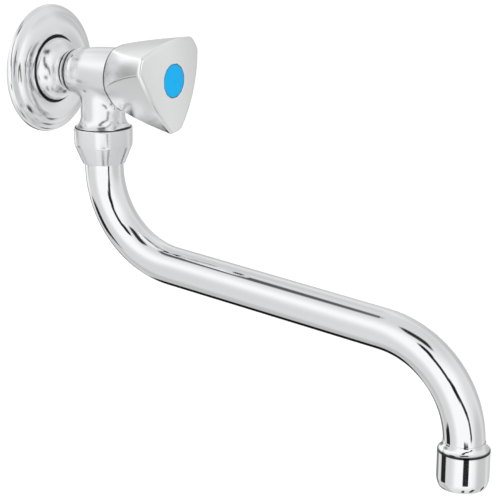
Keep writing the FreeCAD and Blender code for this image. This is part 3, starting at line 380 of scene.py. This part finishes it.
def haze_group():
    """Uneven polish: cloudy haze and fine wiping streaks, as a roughness and a soft wave height."""
    tree, start, end = group("polish_haze",
                             (("Place", "V", None), ("Smoothest", "F", 0.05), ("Haziest", "F", 0.1),
                              ("Cloud Scale", "F", 60.0)),
                             (("Roughness", "F"), ("Wave", "F")))
    cloud = noise(tree, start.outputs["Place"], start.outputs["Cloud Scale"], 4.0, 0.6)
    mapping = add(tree, "ShaderNodeMapping")
    mapping.inputs["Rotation"].default_value = (0.4, 0.2, 0.7)
    mapping.inputs["Scale"].default_value = (1.0, 14.0, 14.0)
    feed(tree, mapping.inputs["Vector"], start.outputs["Place"])
    streak = noise(tree, mapping.outputs[0], 110.0, 2.0, 0.7)
    clouds = math_node(tree, "MULTIPLY", cloud, 0.7)
    streaks = math_node(tree, "MULTIPLY", streak, 0.3)
    both = math_node(tree, "ADD", clouds, streaks)
    rough = smooth_range(tree, both, 0.35, 0.68, start.outputs["Smoothest"], start.outputs["Haziest"])
    feed(tree, end.inputs["Roughness"], rough)
    feed(tree, end.inputs["Wave"], noise(tree, start.outputs["Place"], 220.0, 1.0, 0.4))
    return tree


def ring_group():
    """Rings round the valve's axis, as a turning tool leaves them: a height, and a mask of the high ones."""
    tree, start, end = group("turning_rings", (("Place", "V", None), ("Ring Scale", "F", 900.0)),
                             (("Height", "F"), ("Mask", "F")))
    split = add(tree, "ShaderNodeSeparateXYZ")
    feed(tree, split.inputs[0], start.outputs["Place"])
    across = math_node(tree, "POWER", split.outputs[0], 2.0)
    upward = math_node(tree, "POWER", split.outputs[2], 2.0)
    radius = math_node(tree, "SQRT", math_node(tree, "ADD", across, upward))
    along = math_node(tree, "ADD", radius, split.outputs[1])
    joined = add(tree, "ShaderNodeCombineXYZ")
    feed(tree, joined.inputs[0], along)
    rings = noise(tree, joined.outputs[0], start.outputs["Ring Scale"], 3.0, 0.7)
    feed(tree, end.inputs["Height"], rings)
    feed(tree, end.inputs["Mask"], smooth_range(tree, rings, 0.4, 0.6))
    return tree


def grain_group():
    """Fine moulded grain: a height, and a mask of slightly paler specks."""
    tree, start, end = group("moulded_grain", (("Place", "V", None), ("Grain Scale", "F", 2500.0)),
                             (("Height", "F"), ("Specks", "F")))
    fine = noise(tree, start.outputs["Place"], start.outputs["Grain Scale"], 4.0, 0.6)
    feed(tree, end.inputs["Height"], fine)
    feed(tree, end.inputs["Specks"], smooth_range(tree, fine, 0.52, 0.72))
    return tree


def dust_group():
    """Dust that settles on faces that look up, in loose clouds."""
    tree, start, end = group("settled_dust", (("Place", "V", None), ("Amount", "F", 0.2)), (("Mask", "F"),))
    geometry = add(tree, "ShaderNodeNewGeometry")
    up = dot_with(tree, geometry.outputs["Normal"], (0, 0, 1))
    lie = smooth_range(tree, up, 0.2, 0.95)
    clouds = smooth_range(tree, noise(tree, start.outputs["Place"], 180.0, 5.0, 0.7), 0.45, 0.7)
    dusty = math_node(tree, "MULTIPLY", lie, clouds)
    feed(tree, end.inputs["Mask"], math_node(tree, "MULTIPLY", dusty, start.outputs["Amount"]))
    return tree


def wear_group():
    """Bright rubbed edges: where the surface bends sharply outwards, broken up by noise."""
    tree, start, end = group("rubbed_edges", (("Place", "V", None), ("Amount", "F", 0.5)), (("Mask", "F"),))
    geometry = add(tree, "ShaderNodeNewGeometry")
    edge = smooth_range(tree, geometry.outputs["Pointiness"], 0.51, 0.58)
    broken = smooth_range(tree, noise(tree, start.outputs["Place"], 700.0, 3.0, 0.6), 0.35, 0.6)
    rubbed = math_node(tree, "MULTIPLY", edge, broken)
    feed(tree, end.inputs["Mask"], math_node(tree, "MULTIPLY", rubbed, start.outputs["Amount"]))
    return tree


def place(tree, effect, **inputs):
    """Puts a shared effect in a material, with its own values on the named inputs."""
    node = add(tree, "ShaderNodeGroup", node_tree=effect)
    for key, value in inputs.items():
        feed(tree, node.inputs[key.replace("_", " ")], value)
    return node


# ---------------------------------------------------------------- materials

def blank(name, **plain):
    """A material with one Principled shader, its object coordinates, and plain values on its sockets."""
    material = bpy.data.materials.new(name)
    material.use_nodes = True
    tree = material.node_tree
    tree.nodes.clear()
    shader = add(tree, "ShaderNodeBsdfPrincipled")
    for key, value in plain.items():
        shader.inputs[key.replace("_", " ")].default_value = value
    output = add(tree, "ShaderNodeOutputMaterial")
    tree.links.new(shader.outputs[0], output.inputs["Surface"])
    coordinates = add(tree, "ShaderNodeTexCoord")
    return material, tree, shader, coordinates.outputs["Object"]


def bump(tree, shader, height, distance, strength=1.0):
    """Lets a height disturb the shader's surface, distance in metres."""
    node = add(tree, "ShaderNodeBump")
    node.inputs["Strength"].default_value = strength
    node.inputs["Distance"].default_value = distance
    feed(tree, node.inputs["Height"], height)
    tree.links.new(node.outputs[0], shader.inputs["Normal"])


def shade_ring_mask(tree, spot, places, half_width, axis):
    """1 in the narrow rings at those places along an axis (1 is Y, 2 is Z), where near-black is painted in as
    the shade of grooves and gaps.
    """
    split = add(tree, "ShaderNodeSeparateXYZ")
    feed(tree, split.inputs[0], spot)
    mask = None
    for place_at in places:
        off = math_node(tree, "ABSOLUTE", math_node(tree, "SUBTRACT", split.outputs[axis], place_at * MM))
        one = smooth_range(tree, off, 0.35 * half_width * MM, half_width * MM, 1.0, 0.0)
        mask = one if mask is None else math_node(tree, "MAXIMUM", mask, one)
    return mask


def chrome(name, colour, smoothest, haziest, wave, shade_rings=(), half_width=1.0, axis=1):
    """Chrome plate: bright and hardly coloured, with uneven polish, a trace of waviness, and near-black rings
    painted in as shade at grooves and gaps.
    """
    material, tree, shader, spot = blank(name, Metallic=1.0)
    haze = place(tree, HAZE, Place=spot, Smoothest=smoothest, Haziest=haziest)
    tree.links.new(haze.outputs["Roughness"], shader.inputs["Roughness"])
    wear = place(tree, WEAR, Place=spot, Amount=0.5)
    tone = mix_colours(tree, wear.outputs["Mask"], (*colour, 1), (0.96, 0.96, 0.96, 1))
    # near-black rings painted as shade where grooves and gaps would darken the metal
    if shade_rings:
        painted_shade_lines = shade_ring_mask(tree, spot, shade_rings, half_width, axis)
        tone = mix_colours(tree, painted_shade_lines, tone, (0.05, 0.05, 0.055, 1))
    tree.links.new(tone, shader.inputs["Base Color"])
    bump(tree, shader, haze.outputs["Wave"], wave, 0.6)
    return material


def brass(name):
    """Bare brass with turning rings and a cloudy tarnish."""
    material, tree, shader, spot = blank(name, Metallic=1.0)
    rings = place(tree, RINGS, Place=spot, Ring_Scale=1400.0)
    cloud = smooth_range(tree, noise(tree, spot, 260.0, 4.0, 0.6), 0.35, 0.7)
    tone = mix_colours(tree, cloud, (0.83, 0.62, 0.28, 1), (0.62, 0.43, 0.19, 1))
    tree.links.new(tone, shader.inputs["Base Color"])
    feed(tree, shader.inputs["Roughness"], smooth_range(tree, cloud, 0.0, 1.0, 0.22, 0.42))
    bump(tree, shader, rings.outputs["Height"], 0.00003, 0.7)
    return material


def steel(name):
    """Stainless steel, finely turned and a little hazy."""
    material, tree, shader, spot = blank(name, Metallic=1.0)
    rings = place(tree, RINGS, Place=spot, Ring_Scale=2600.0)
    haze = place(tree, HAZE, Place=spot, Smoothest=0.2, Haziest=0.36, Cloud_Scale=300.0)
    tree.links.new(haze.outputs["Roughness"], shader.inputs["Roughness"])
    tree.links.new(mix_colours(tree, rings.outputs["Mask"], (0.60, 0.59, 0.57, 1), (0.70, 0.69, 0.67, 1)),
                   shader.inputs["Base Color"])
    bump(tree, shader, rings.outputs["Height"], 0.00002, 0.5)
    return material


def rubber(name):
    """Black rubber with a fine grain and some dust on top."""
    material, tree, shader, spot = blank(name)
    grain = place(tree, GRAIN, Place=spot, Grain_Scale=3000.0)
    dust = place(tree, DUST, Place=spot, Amount=0.35)
    tone = mix_colours(tree, grain.outputs["Specks"], (0.018, 0.018, 0.019, 1), (0.035, 0.035, 0.036, 1))
    tone = mix_colours(tree, dust.outputs["Mask"], tone, (0.25, 0.24, 0.22, 1))
    tree.links.new(tone, shader.inputs["Base Color"])
    feed(tree, shader.inputs["Roughness"], smooth_range(tree, grain.outputs["Height"], 0.3, 0.7, 0.5, 0.75))
    bump(tree, shader, grain.outputs["Height"], 0.00004)
    return material


def foam(name):
    """Grey closed-cell foam."""
    material, tree, shader, spot = blank(name)
    cells = add(tree, "ShaderNodeTexVoronoi", feature="DISTANCE_TO_EDGE")
    feed(tree, cells.inputs["Vector"], spot)
    cells.inputs["Scale"].default_value = 1300.0
    wall = smooth_range(tree, cells.outputs["Distance"], 0.02, 0.22)
    tone = mix_colours(tree, wall, (0.42, 0.42, 0.43, 1), (0.20, 0.20, 0.21, 1))
    tree.links.new(tone, shader.inputs["Base Color"])
    feed(tree, shader.inputs["Roughness"], smooth_range(tree, wall, 0.0, 1.0, 0.8, 0.95))
    bump(tree, shader, math_node(tree, "SUBTRACT", 1.0, wall), 0.0002)
    return material


def moulded(name, colour, paler, low, high, gloss):
    """Injection-moulded plastic: fine grain, faint flow clouds, a dull or bright skin."""
    material, tree, shader, spot = blank(name)
    shader.inputs["Specular IOR Level"].default_value = gloss
    grain = place(tree, GRAIN, Place=spot, Grain_Scale=2200.0)
    flow = smooth_range(tree, noise(tree, spot, 90.0, 3.0, 0.5), 0.35, 0.7)
    tone = mix_colours(tree, math_node(tree, "MULTIPLY", flow, 0.5), (*colour, 1), (*paler, 1))
    tone = mix_colours(tree, math_node(tree, "MULTIPLY", grain.outputs["Specks"], 0.25), tone, (*paler, 1))
    tree.links.new(tone, shader.inputs["Base Color"])
    feed(tree, shader.inputs["Roughness"], smooth_range(tree, grain.outputs["Height"], 0.3, 0.7, low, high))
    bump(tree, shader, grain.outputs["Height"], 0.000015)
    return material


def painted_shade_metal(name):
    """Dull, near-black metal: painted shade for the handle's inside, the rosette's recess and back, and the
    outlet's hidden end.
    """
    material, tree, shader, spot = blank(name, Metallic=0.6)
    grain = place(tree, GRAIN, Place=spot, Grain_Scale=1500.0)
    tree.links.new(mix_colours(tree, grain.outputs["Specks"], (0.03, 0.03, 0.032, 1), (0.08, 0.08, 0.082, 1)),
                   shader.inputs["Base Color"])
    feed(tree, shader.inputs["Roughness"], smooth_range(tree, grain.outputs["Height"], 0.3, 0.7, 0.5, 0.7))
    bump(tree, shader, grain.outputs["Height"], 0.00008)
    return material


# ---------------------------------------------------------------- making pieces

def start_piece():
    """Nothing selected and nothing in edit mode, ready for a new primitive."""
    if bpy.context.object is not None and bpy.context.object.mode != "OBJECT":
        bpy.ops.object.mode_set(mode="OBJECT")
    bpy.ops.object.select_all(action="DESELECT")


def only(piece):
    """This piece alone is selected and active."""
    start_piece()
    piece.select_set(True)
    bpy.context.view_layer.objects.active = piece


def copy_of(node, name):
    """A merged copy of a CAD node's mesh, to be worked on as a new piece."""
    piece = bpy.data.objects.new(name, NODES[node].data.copy())
    bpy.context.scene.collection.objects.link(piece)
    piece.data.materials.clear()
    only(piece)
    bpy.ops.mesh.customdata_custom_splitnormals_clear()
    bpy.ops.object.mode_set(mode="EDIT")
    bpy.ops.mesh.select_all(action="SELECT")
    bpy.ops.mesh.remove_doubles(threshold=1e-6)
    bpy.ops.object.mode_set(mode="OBJECT")
    return piece


def cylinder(radius, start, end, direction="out", at=0.0):
    """A plain rod in millimetres, along the valve's axis, or upright and that far out from the wall."""
    start_piece()
    middle = (start + end) / 2 * MM
    place_at = (0, -middle, 0) if direction == "out" else (0, -at * MM, middle)
    turn = (math.pi / 2, 0, 0) if direction == "out" else (0, 0, 0)
    bpy.ops.mesh.primitive_cylinder_add(vertices=96, radius=radius * MM, depth=abs(end - start) * MM,
                                        location=place_at, rotation=turn)
    rod = bpy.context.object
    bpy.ops.object.transform_apply(location=True, rotation=True)
    return rod


def join(name, pieces):
    """All the pieces as one, in that order."""
    start_piece()
    for piece in pieces:
        piece.select_set(True)
    bpy.context.view_layer.objects.active = pieces[0]
    bpy.ops.object.join()
    whole = bpy.context.object
    whole.name = name
    return whole


def apply_modifier(piece, kind, **values):
    only(piece)
    modifier = piece.modifiers.new(kind.lower(), kind)
    for key, value in values.items():
        setattr(modifier, key, value)
    bpy.ops.object.modifier_apply(modifier=modifier.name)


def reskin(piece, size, rounds, keep=None):
    """One even skin over all that was joined, then relaxed except where keep(point) holds."""
    apply_modifier(piece, "REMESH", mode="VOXEL", voxel_size=size * MM, use_smooth_shade=True)
    chosen = piece.vertex_groups.new(name="relaxed")
    free = [v.index for v in piece.data.vertices if keep is None or not keep(v.co)]
    chosen.add(free, 1.0, "REPLACE")
    apply_modifier(piece, "SMOOTH", factor=0.5, iterations=rounds, vertex_group="relaxed")
    piece.vertex_groups.clear()


def slice_off(piece, point, outward):
    """Cuts the piece at a plane, and closes it there."""
    only(piece)
    bpy.ops.object.mode_set(mode="EDIT")
    bpy.ops.mesh.select_all(action="SELECT")
    bpy.ops.mesh.bisect(plane_co=point, plane_no=outward, clear_outer=True, use_fill=True)
    bpy.ops.object.mode_set(mode="OBJECT")


def subtract(piece, tool):
    apply_modifier(piece, "BOOLEAN", operation="DIFFERENCE", solver="EXACT", object=tool)
    bpy.data.objects.remove(tool)


def swung(arm, angle):
    """A flat vector turned by an angle."""
    return Vector((arm.x * math.cos(angle) - arm.y * math.sin(angle),
                   arm.x * math.sin(angle) + arm.y * math.cos(angle)))


def softened(corners, steps=5):
    """An outline of (radius, height, rounding) corners, with each corner rounded."""
    points = []
    for k, (r, z, size) in enumerate(corners):
        here = Vector((r, z))
        if size == 0 or k in (0, len(corners) - 1):
            points.append(here)
            continue
        before = (Vector(corners[k - 1][:2]) - here).normalized()
        after = (Vector(corners[k + 1][:2]) - here).normalized()
        half = before.angle(after) / 2
        if half > math.radians(88):
            points.append(here)
            continue
        back = size / math.tan(half)
        start, end = here + before * back, here + after * back
        centre = here + (before + after).normalized() * (size / math.sin(half))
        first, last = start - centre, end - centre
        swing = first.angle_signed(last)
        for j in range(steps + 1):
            points.append(centre + swung(first, -swing * j / steps))
    return points


def close_outward():
    """Turns every face outward and leaves edit mode."""
    bpy.ops.mesh.normals_make_consistent(inside=False)
    bpy.ops.object.mode_set(mode="OBJECT")


def draw_along(points):
    """In edit mode: extrudes the selected ring to each (radius, height) point in turn, and resizes it."""
    r, z = points[0]
    for nr, nz in points[1:]:
        bpy.ops.mesh.extrude_region_move(TRANSFORM_OT_translate={"value": (0, 0, (nz - z) * MM)})
        bpy.ops.transform.resize(value=(nr / r, nr / r, 1))
        r, z = nr, nz
    bpy.ops.mesh.select_all(action="SELECT")


def round_off(piece, degrees):
    """Smooth shading, except where faces meet at a sharper angle."""
    only(piece)
    bpy.ops.object.shade_smooth_by_angle(angle=math.radians(degrees))


def turned(name, points, direction="out", at=0.0, segments=128):
    """A turned piece: a ring is extruded and resized along a closed outline of (radius, height) points."""
    start_piece()
    r, z = points[0]
    bpy.ops.mesh.primitive_circle_add(vertices=segments, radius=r * MM, location=(0, 0, z * MM))
    piece = bpy.context.object
    piece.name = name
    bpy.ops.object.transform_apply(location=True)
    bpy.ops.object.mode_set(mode="EDIT")
    bpy.ops.mesh.select_all(action="SELECT")
    draw_along(list(points) + [points[0]])
    bpy.ops.mesh.remove_doubles(threshold=1e-7)
    close_outward()
    if direction == "out":
        piece.rotation_euler = (math.pi / 2, 0, 0)
    else:
        piece.location = (0, -at * MM, 0)
    bpy.ops.object.transform_apply(location=True, rotation=True)
    bpy.ops.object.shade_smooth_by_angle(angle=math.radians(35))
    return piece


def finish_piece(piece, material, body, slot, *nodes):
    """One material all over, the piece hung under its body's empty, and the CAD nodes it stands in for
    hidden.
    """
    piece.data.materials.clear()
    piece.data.materials.append(material)
    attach(piece, body)
    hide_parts(*nodes)


def dress(node, material):
    """Gives a CAD node the material of its finish."""
    mesh = NODES[node].data
    mesh.materials.clear()
    mesh.materials.append(material)


# ---------------------------------------------------------------- the pieces

def arc_through(start, end, swell, steps=14):
    """Points on an arc from start to end, its middle standing out from the chord by swell."""
    a, b = Vector(start), Vector(end)
    run = b - a
    side = Vector((run.y, -run.x)).normalized()
    if side.x < 0:
        side = -side
    radius = run.length ** 2 / (8 * swell) + swell / 2
    centre = (a + b) / 2 + side * (swell - radius)
    first, last = a - centre, b - centre
    swing = first.angle_signed(last)
    points = []
    for j in range(steps + 1):
        points.append(centre + swung(first, -swing * j / steps))
    return points


def flowing(points, steps=5):
    """A smooth line through the points, evenly bent from one to the next."""
    knots = [Vector(p) for p in points]
    line = []
    for k in range(len(knots) - 1):
        a, b = knots[k], knots[k + 1]
        before = knots[k - 1] if k else a * 2 - b
        after = knots[k + 2] if k + 2 < len(knots) else b * 2 - a
        for j in range(steps):
            t = j / steps
            line.append(0.5 * (2 * a + (b - before) * t + (2 * before - 5 * a + 4 * b - after) * t ** 2
                               + (3 * a - before - 3 * b + after) * t ** 3))
    return line + [knots[-1]]


def paint_shade_where(piece, material, chosen):
    """Gives a second material, the near-black painted shade, to the faces that chosen(centre, normal) picks.
    """
    piece.data.materials.append(material)
    for face in piece.data.polygons:
        if chosen(face.center, face.normal):
            face.material_index = len(piece.data.materials) - 1


def from_axis(point):
    """A point's distance from the valve's axis, in millimetres."""
    return math.hypot(point.x, point.z) / MM


def half_ring(out, radius, thickness):
    """A round ring about the valve's axis, cut off below, on the outlet's side."""
    start_piece()
    bpy.ops.mesh.primitive_torus_add(major_radius=radius * MM, minor_radius=thickness * MM,
                                     major_segments=128, minor_segments=20,
                                     location=(0, -out * MM, 0), rotation=(math.pi / 2, 0, 0))
    ring = bpy.context.object
    bpy.ops.object.transform_apply(location=True, rotation=True)
    slice_off(ring, (0, 0, HALF_RING_LOW_Z * MM), (0, 0, -1))
    return ring


def cast_tee():
    """The tee between neck and union nut, its branches melting into each other as a casting's do."""
    plugs = [cylinder(*plug) for plug in BORE_PLUGS]
    plugs += [cylinder(*plug, "down", OUTLET_OUT) for plug in OUTLET_PLUGS]
    tee = join("cast_tee", [copy_of("valve_body", "cast_tee")] + plugs + [half_ring(*NECK_BEAD)])
    reskin(tee, TEE_VOXEL, TEE_RELAXING)
    slice_off(tee, (0, -TEE_START_OUT * MM, 0), (0, 1, 0))
    slice_off(tee, (0, -BARREL_END_OUT * MM, 0), (0, -1, 0))
    slice_off(tee, (0, 0, OUTLET_LIP_Z * MM), (0, 0, -1))
    for groove in NECK_GROOVES:
        subtract(tee, half_ring(*groove))
    seat_out = -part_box("seat_washer")[1][1] / MM
    chamber = cylinder(CHAMBER_R, seat_out, CHAMBER_END_OUT)
    inlet = cylinder(INLET_BORE_R, INLET_BORE_OUT, seat_out + SEAT_OVERLAP)
    outlet = cylinder(*OUTLET_BORE, "down", OUTLET_OUT)
    for bore in (chamber, inlet, outlet):
        subtract(tee, bore)
    round_off(tee, 50)
    finish_piece(tee, TEE_CHROME, "tap_body", "chromed_brass", "valve_body")


def collar():
    """The domed collar that stands in the rosette's recess, and the neck behind the tee."""
    edge = softened(COLLAR_EDGE)
    dome = arc_through(COLLAR_RIM, COLLAR_TOP, COLLAR_SWELL)
    neck = softened(COLLAR_NECK)
    piece = turned("neck_collar", edge + dome[1:] + neck[1:], segments=160)
    finish_piece(piece, COLLAR_CHROME, "tap_body", "chromed_brass", "valve_body")


def body_ends():
    """What the union nut and the handle hide: the outlet's threaded end and the headwork's seat."""
    outlet = turned("outlet_thread_end", softened(OUTLET_END), "down", OUTLET_OUT)
    # painted near-black as the shade inside the nut
    finish_piece(outlet, PAINTED_SHADE, "tap_body", "chromed_brass", "valve_body")
    spigot = turned("headwork_seat", softened(HEADWORK_SEAT))
    finish_piece(spigot, BRASS, "tap_body", "chromed_brass", "valve_body")


def inlet_thread():
    """The shank behind the wall line: a cut half-inch pipe thread with a chamfered start and its bore."""
    start_piece()
    bpy.ops.mesh.primitive_plane_add(size=MM)
    shank = bpy.context.object
    shank.name = "shank_thread"
    bpy.ops.object.mode_set(mode="EDIT")
    bpy.ops.mesh.select_all(action="SELECT")
    bpy.ops.mesh.merge(type="CENTER")
    bpy.ops.transform.translate(value=(THREAD_ROOT_R * MM, 0, THREAD_START * MM))
    tooth_height = THREAD_CREST_R - THREAD_ROOT_R
    for dr, dz in ((0, THREAD_ROOT_FLAT), (tooth_height, THREAD_FLANK),
                   (0, THREAD_CREST_FLAT), (-tooth_height, THREAD_FLANK)):
        bpy.ops.mesh.extrude_region_move(TRANSFORM_OT_translate={"value": (dr * MM, 0, dz * MM)})
    bpy.ops.object.mode_set(mode="OBJECT")
    apply_modifier(shank, "SCREW", axis="Z", angle=2 * math.pi, screw_offset=THREAD_PITCH * MM,
                   iterations=THREAD_TURNS, steps=THREAD_STEPS, render_steps=THREAD_STEPS,
                   use_merge_vertices=True, merge_threshold=1e-7)
    only(shank)
    bpy.ops.object.mode_set(mode="EDIT")
    bpy.ops.mesh.select_all(action="SELECT")
    bpy.ops.mesh.remove_doubles(threshold=0.02 * MM)
    close_outward()
    shank.rotation_euler = (math.pi / 2, 0, 0)
    only(shank)
    bpy.ops.object.transform_apply(rotation=True)
    slice_off(shank, (0, -SHANK_FRONT_OUT * MM, 0), (0, -1, 0))
    slice_off(shank, (0, -SHANK_BACK_OUT * MM, 0), (0, 1, 0))
    envelope = turned("shank_envelope", softened(SHANK))
    apply_modifier(shank, "BOOLEAN", operation="INTERSECT", solver="EXACT", object=envelope)
    bpy.data.objects.remove(envelope)
    round_off(shank, 30)
    finish_piece(shank, BRASS, "tap_body", "chromed_brass", "valve_body")


def rosette():
    """The pressed cover plate, its rolled rim, bead and dished face in one sheet, its recess and back painted
    near-black as shade.
    """
    sheet = flowing(PLATE_SKIN) + [Vector(p) for p in PLATE_BACK]
    plate = turned("wall_plate", sheet, segments=192)
    finish_piece(plate, PLATE_CHROME, "tap_body", "chromed_brass", "wall_rosette")

    def gets_painted_shade(centre, normal):
        in_recess = from_axis(centre) < PLATE_RECESS_R
        return in_recess or (normal.y > 0.3 and -centre.y < PLATE_TOP_OUT * MM)

    # the recess and the back that faces the wall are painted near-black as shade
    paint_shade_where(plate, PAINTED_SHADE, gets_painted_shade)


def nut():
    """The union nut: a hexagon with well rounded corners, tapering to the tube and bored to its shoulder."""
    rings = softened(NUT)
    start_piece()
    r, z = rings[0]
    bpy.ops.mesh.primitive_circle_add(vertices=6, radius=r * MM, fill_type="NGON",
                                      location=(0, -OUTLET_OUT * MM, z * MM),
                                      rotation=(0, 0, math.radians(NUT_TURN)))
    piece = bpy.context.object
    piece.name = "outlet_nut"
    bpy.ops.object.transform_apply(location=True, rotation=True)
    bpy.ops.object.mode_set(mode="EDIT")
    bpy.ops.mesh.select_all(action="SELECT")
    bpy.ops.mesh.bevel(offset=NUT_CORNER * MM, segments=14, affect="VERTICES")
    bpy.ops.mesh.select_all(action="SELECT")
    draw_along(rings)
    close_outward()
    shoulder = (NUT_SHOULDER_R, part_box("slide_ring")[0][2] / MM, NUT_SHOULDER_TOP)
    for bore in (NUT_THREAD_BORE, shoulder, NUT_HOLE):
        subtract(piece, cylinder(*bore, "down", OUTLET_OUT))
    round_off(piece, 28)
    finish_piece(piece, NUT_CHROME, "tap_body", "chromed_brass", "union_nut")


def handle():
    """The three-sided handle, its creases rounded by polishing and its inside painted near-black as shade."""
    shell = copy_of("handle_shell", "handle_cover")
    reskin(shell, HANDLE_VOXEL, HANDLE_RELAXING, lambda point: from_axis(point) < HANDLE_BOSS_R)
    round_off(shell, 50)
    finish_piece(shell, HANDLE_CHROME, "handle", "chromed_brass", "handle_shell")

    def inside(centre, normal):
        spread = Vector((centre.x, 0, centre.z))
        return normal.y > -0.5 and spread.length > 0 and normal.dot(spread.normalized()) < 0.1

    # the inside faces are painted near-black as shade
    paint_shade_where(shell, PAINTED_SHADE, inside)


set_camera()
set_studio()
set_floor()
set_lamps()

HAZE, RINGS, GRAIN, DUST, WEAR = haze_group(), ring_group(), grain_group(), dust_group(), wear_group()
CHROME = chrome("chrome_plate", (0.89, 0.895, 0.905), 0.045, 0.085, 0.000004)
PLATE_CHROME = chrome("chrome_on_plate", (0.90, 0.905, 0.915), 0.14, 0.20, 0.000005)
NUT_CHROME = chrome("chrome_on_nut", (0.90, 0.905, 0.915), 0.22, 0.28, 0.000006)
COLLAR_CHROME = chrome("chrome_on_collar", (0.90, 0.905, 0.915), 0.19, 0.24, 0.000004)
# near-black rings painted as shade in the neck's grooves
TEE_CHROME = chrome("chrome_on_casting", (0.90, 0.905, 0.915), 0.18, 0.24, 0.000006,
                    [-groove[0] for groove in NECK_GROOVES], 1.0)
# the handle's chrome has a paler base colour than the rest, painted light so the handle renders brighter; its
# ring at HANDLE_RIM_LINE_OUT is painted shade
HANDLE_CHROME = chrome("chrome_on_handle", (0.96, 0.962, 0.97), 0.20, 0.27, 0.000006,
                       [-HANDLE_RIM_LINE_OUT], 1.8)
# its ring at NOZZLE_RIM_Z is near-black painted as the shade of the gap at the rim
NOZZLE_CHROME = chrome("chrome_on_nozzle", (0.89, 0.895, 0.905), 0.05, 0.09, 0.000004,
                       [NOZZLE_RIM_Z], 0.8, 2)
BRASS = brass("turned_brass")
STEEL = steel("stainless")
RUBBER = rubber("black_rubber")
FOAM = foam("grey_foam")
BLUE = moulded("blue_cap", (0.0, 0.40, 0.84), (0.0, 0.46, 0.90), 0.42, 0.5, 0.12)
WHITE = moulded("white_plastic", (0.78, 0.78, 0.76), (0.84, 0.84, 0.82), 0.35, 0.5, 0.5)
GREY = moulded("grey_plastic", (0.27, 0.27, 0.28), (0.34, 0.34, 0.35), 0.4, 0.55, 0.5)
PAINTED_SHADE = painted_shade_metal("painted_shade_metal")

FINISHES = {"chromed_brass": CHROME, "bare_brass": BRASS, "stainless_steel": STEEL, "black_rubber": RUBBER,
            "grey_foam": FOAM, "blue_plastic": BLUE, "white_plastic": WHITE, "grey_plastic": GREY}
for part in frame["record"]["subparts"]:
    dress(part["node"], FINISHES[part["material_slot"]])
NODES["index_cap"].visible_glossy = False       # its blue would show in the tube
for node in ("nozzle_socket", "aerator_housing"):
    dress(node, NOZZLE_CHROME)

for make in (inlet_thread, rosette, collar, cast_tee, body_ends, handle, nut):
    make()

bpy.context.scene.view_settings.view_transform = "Standard"
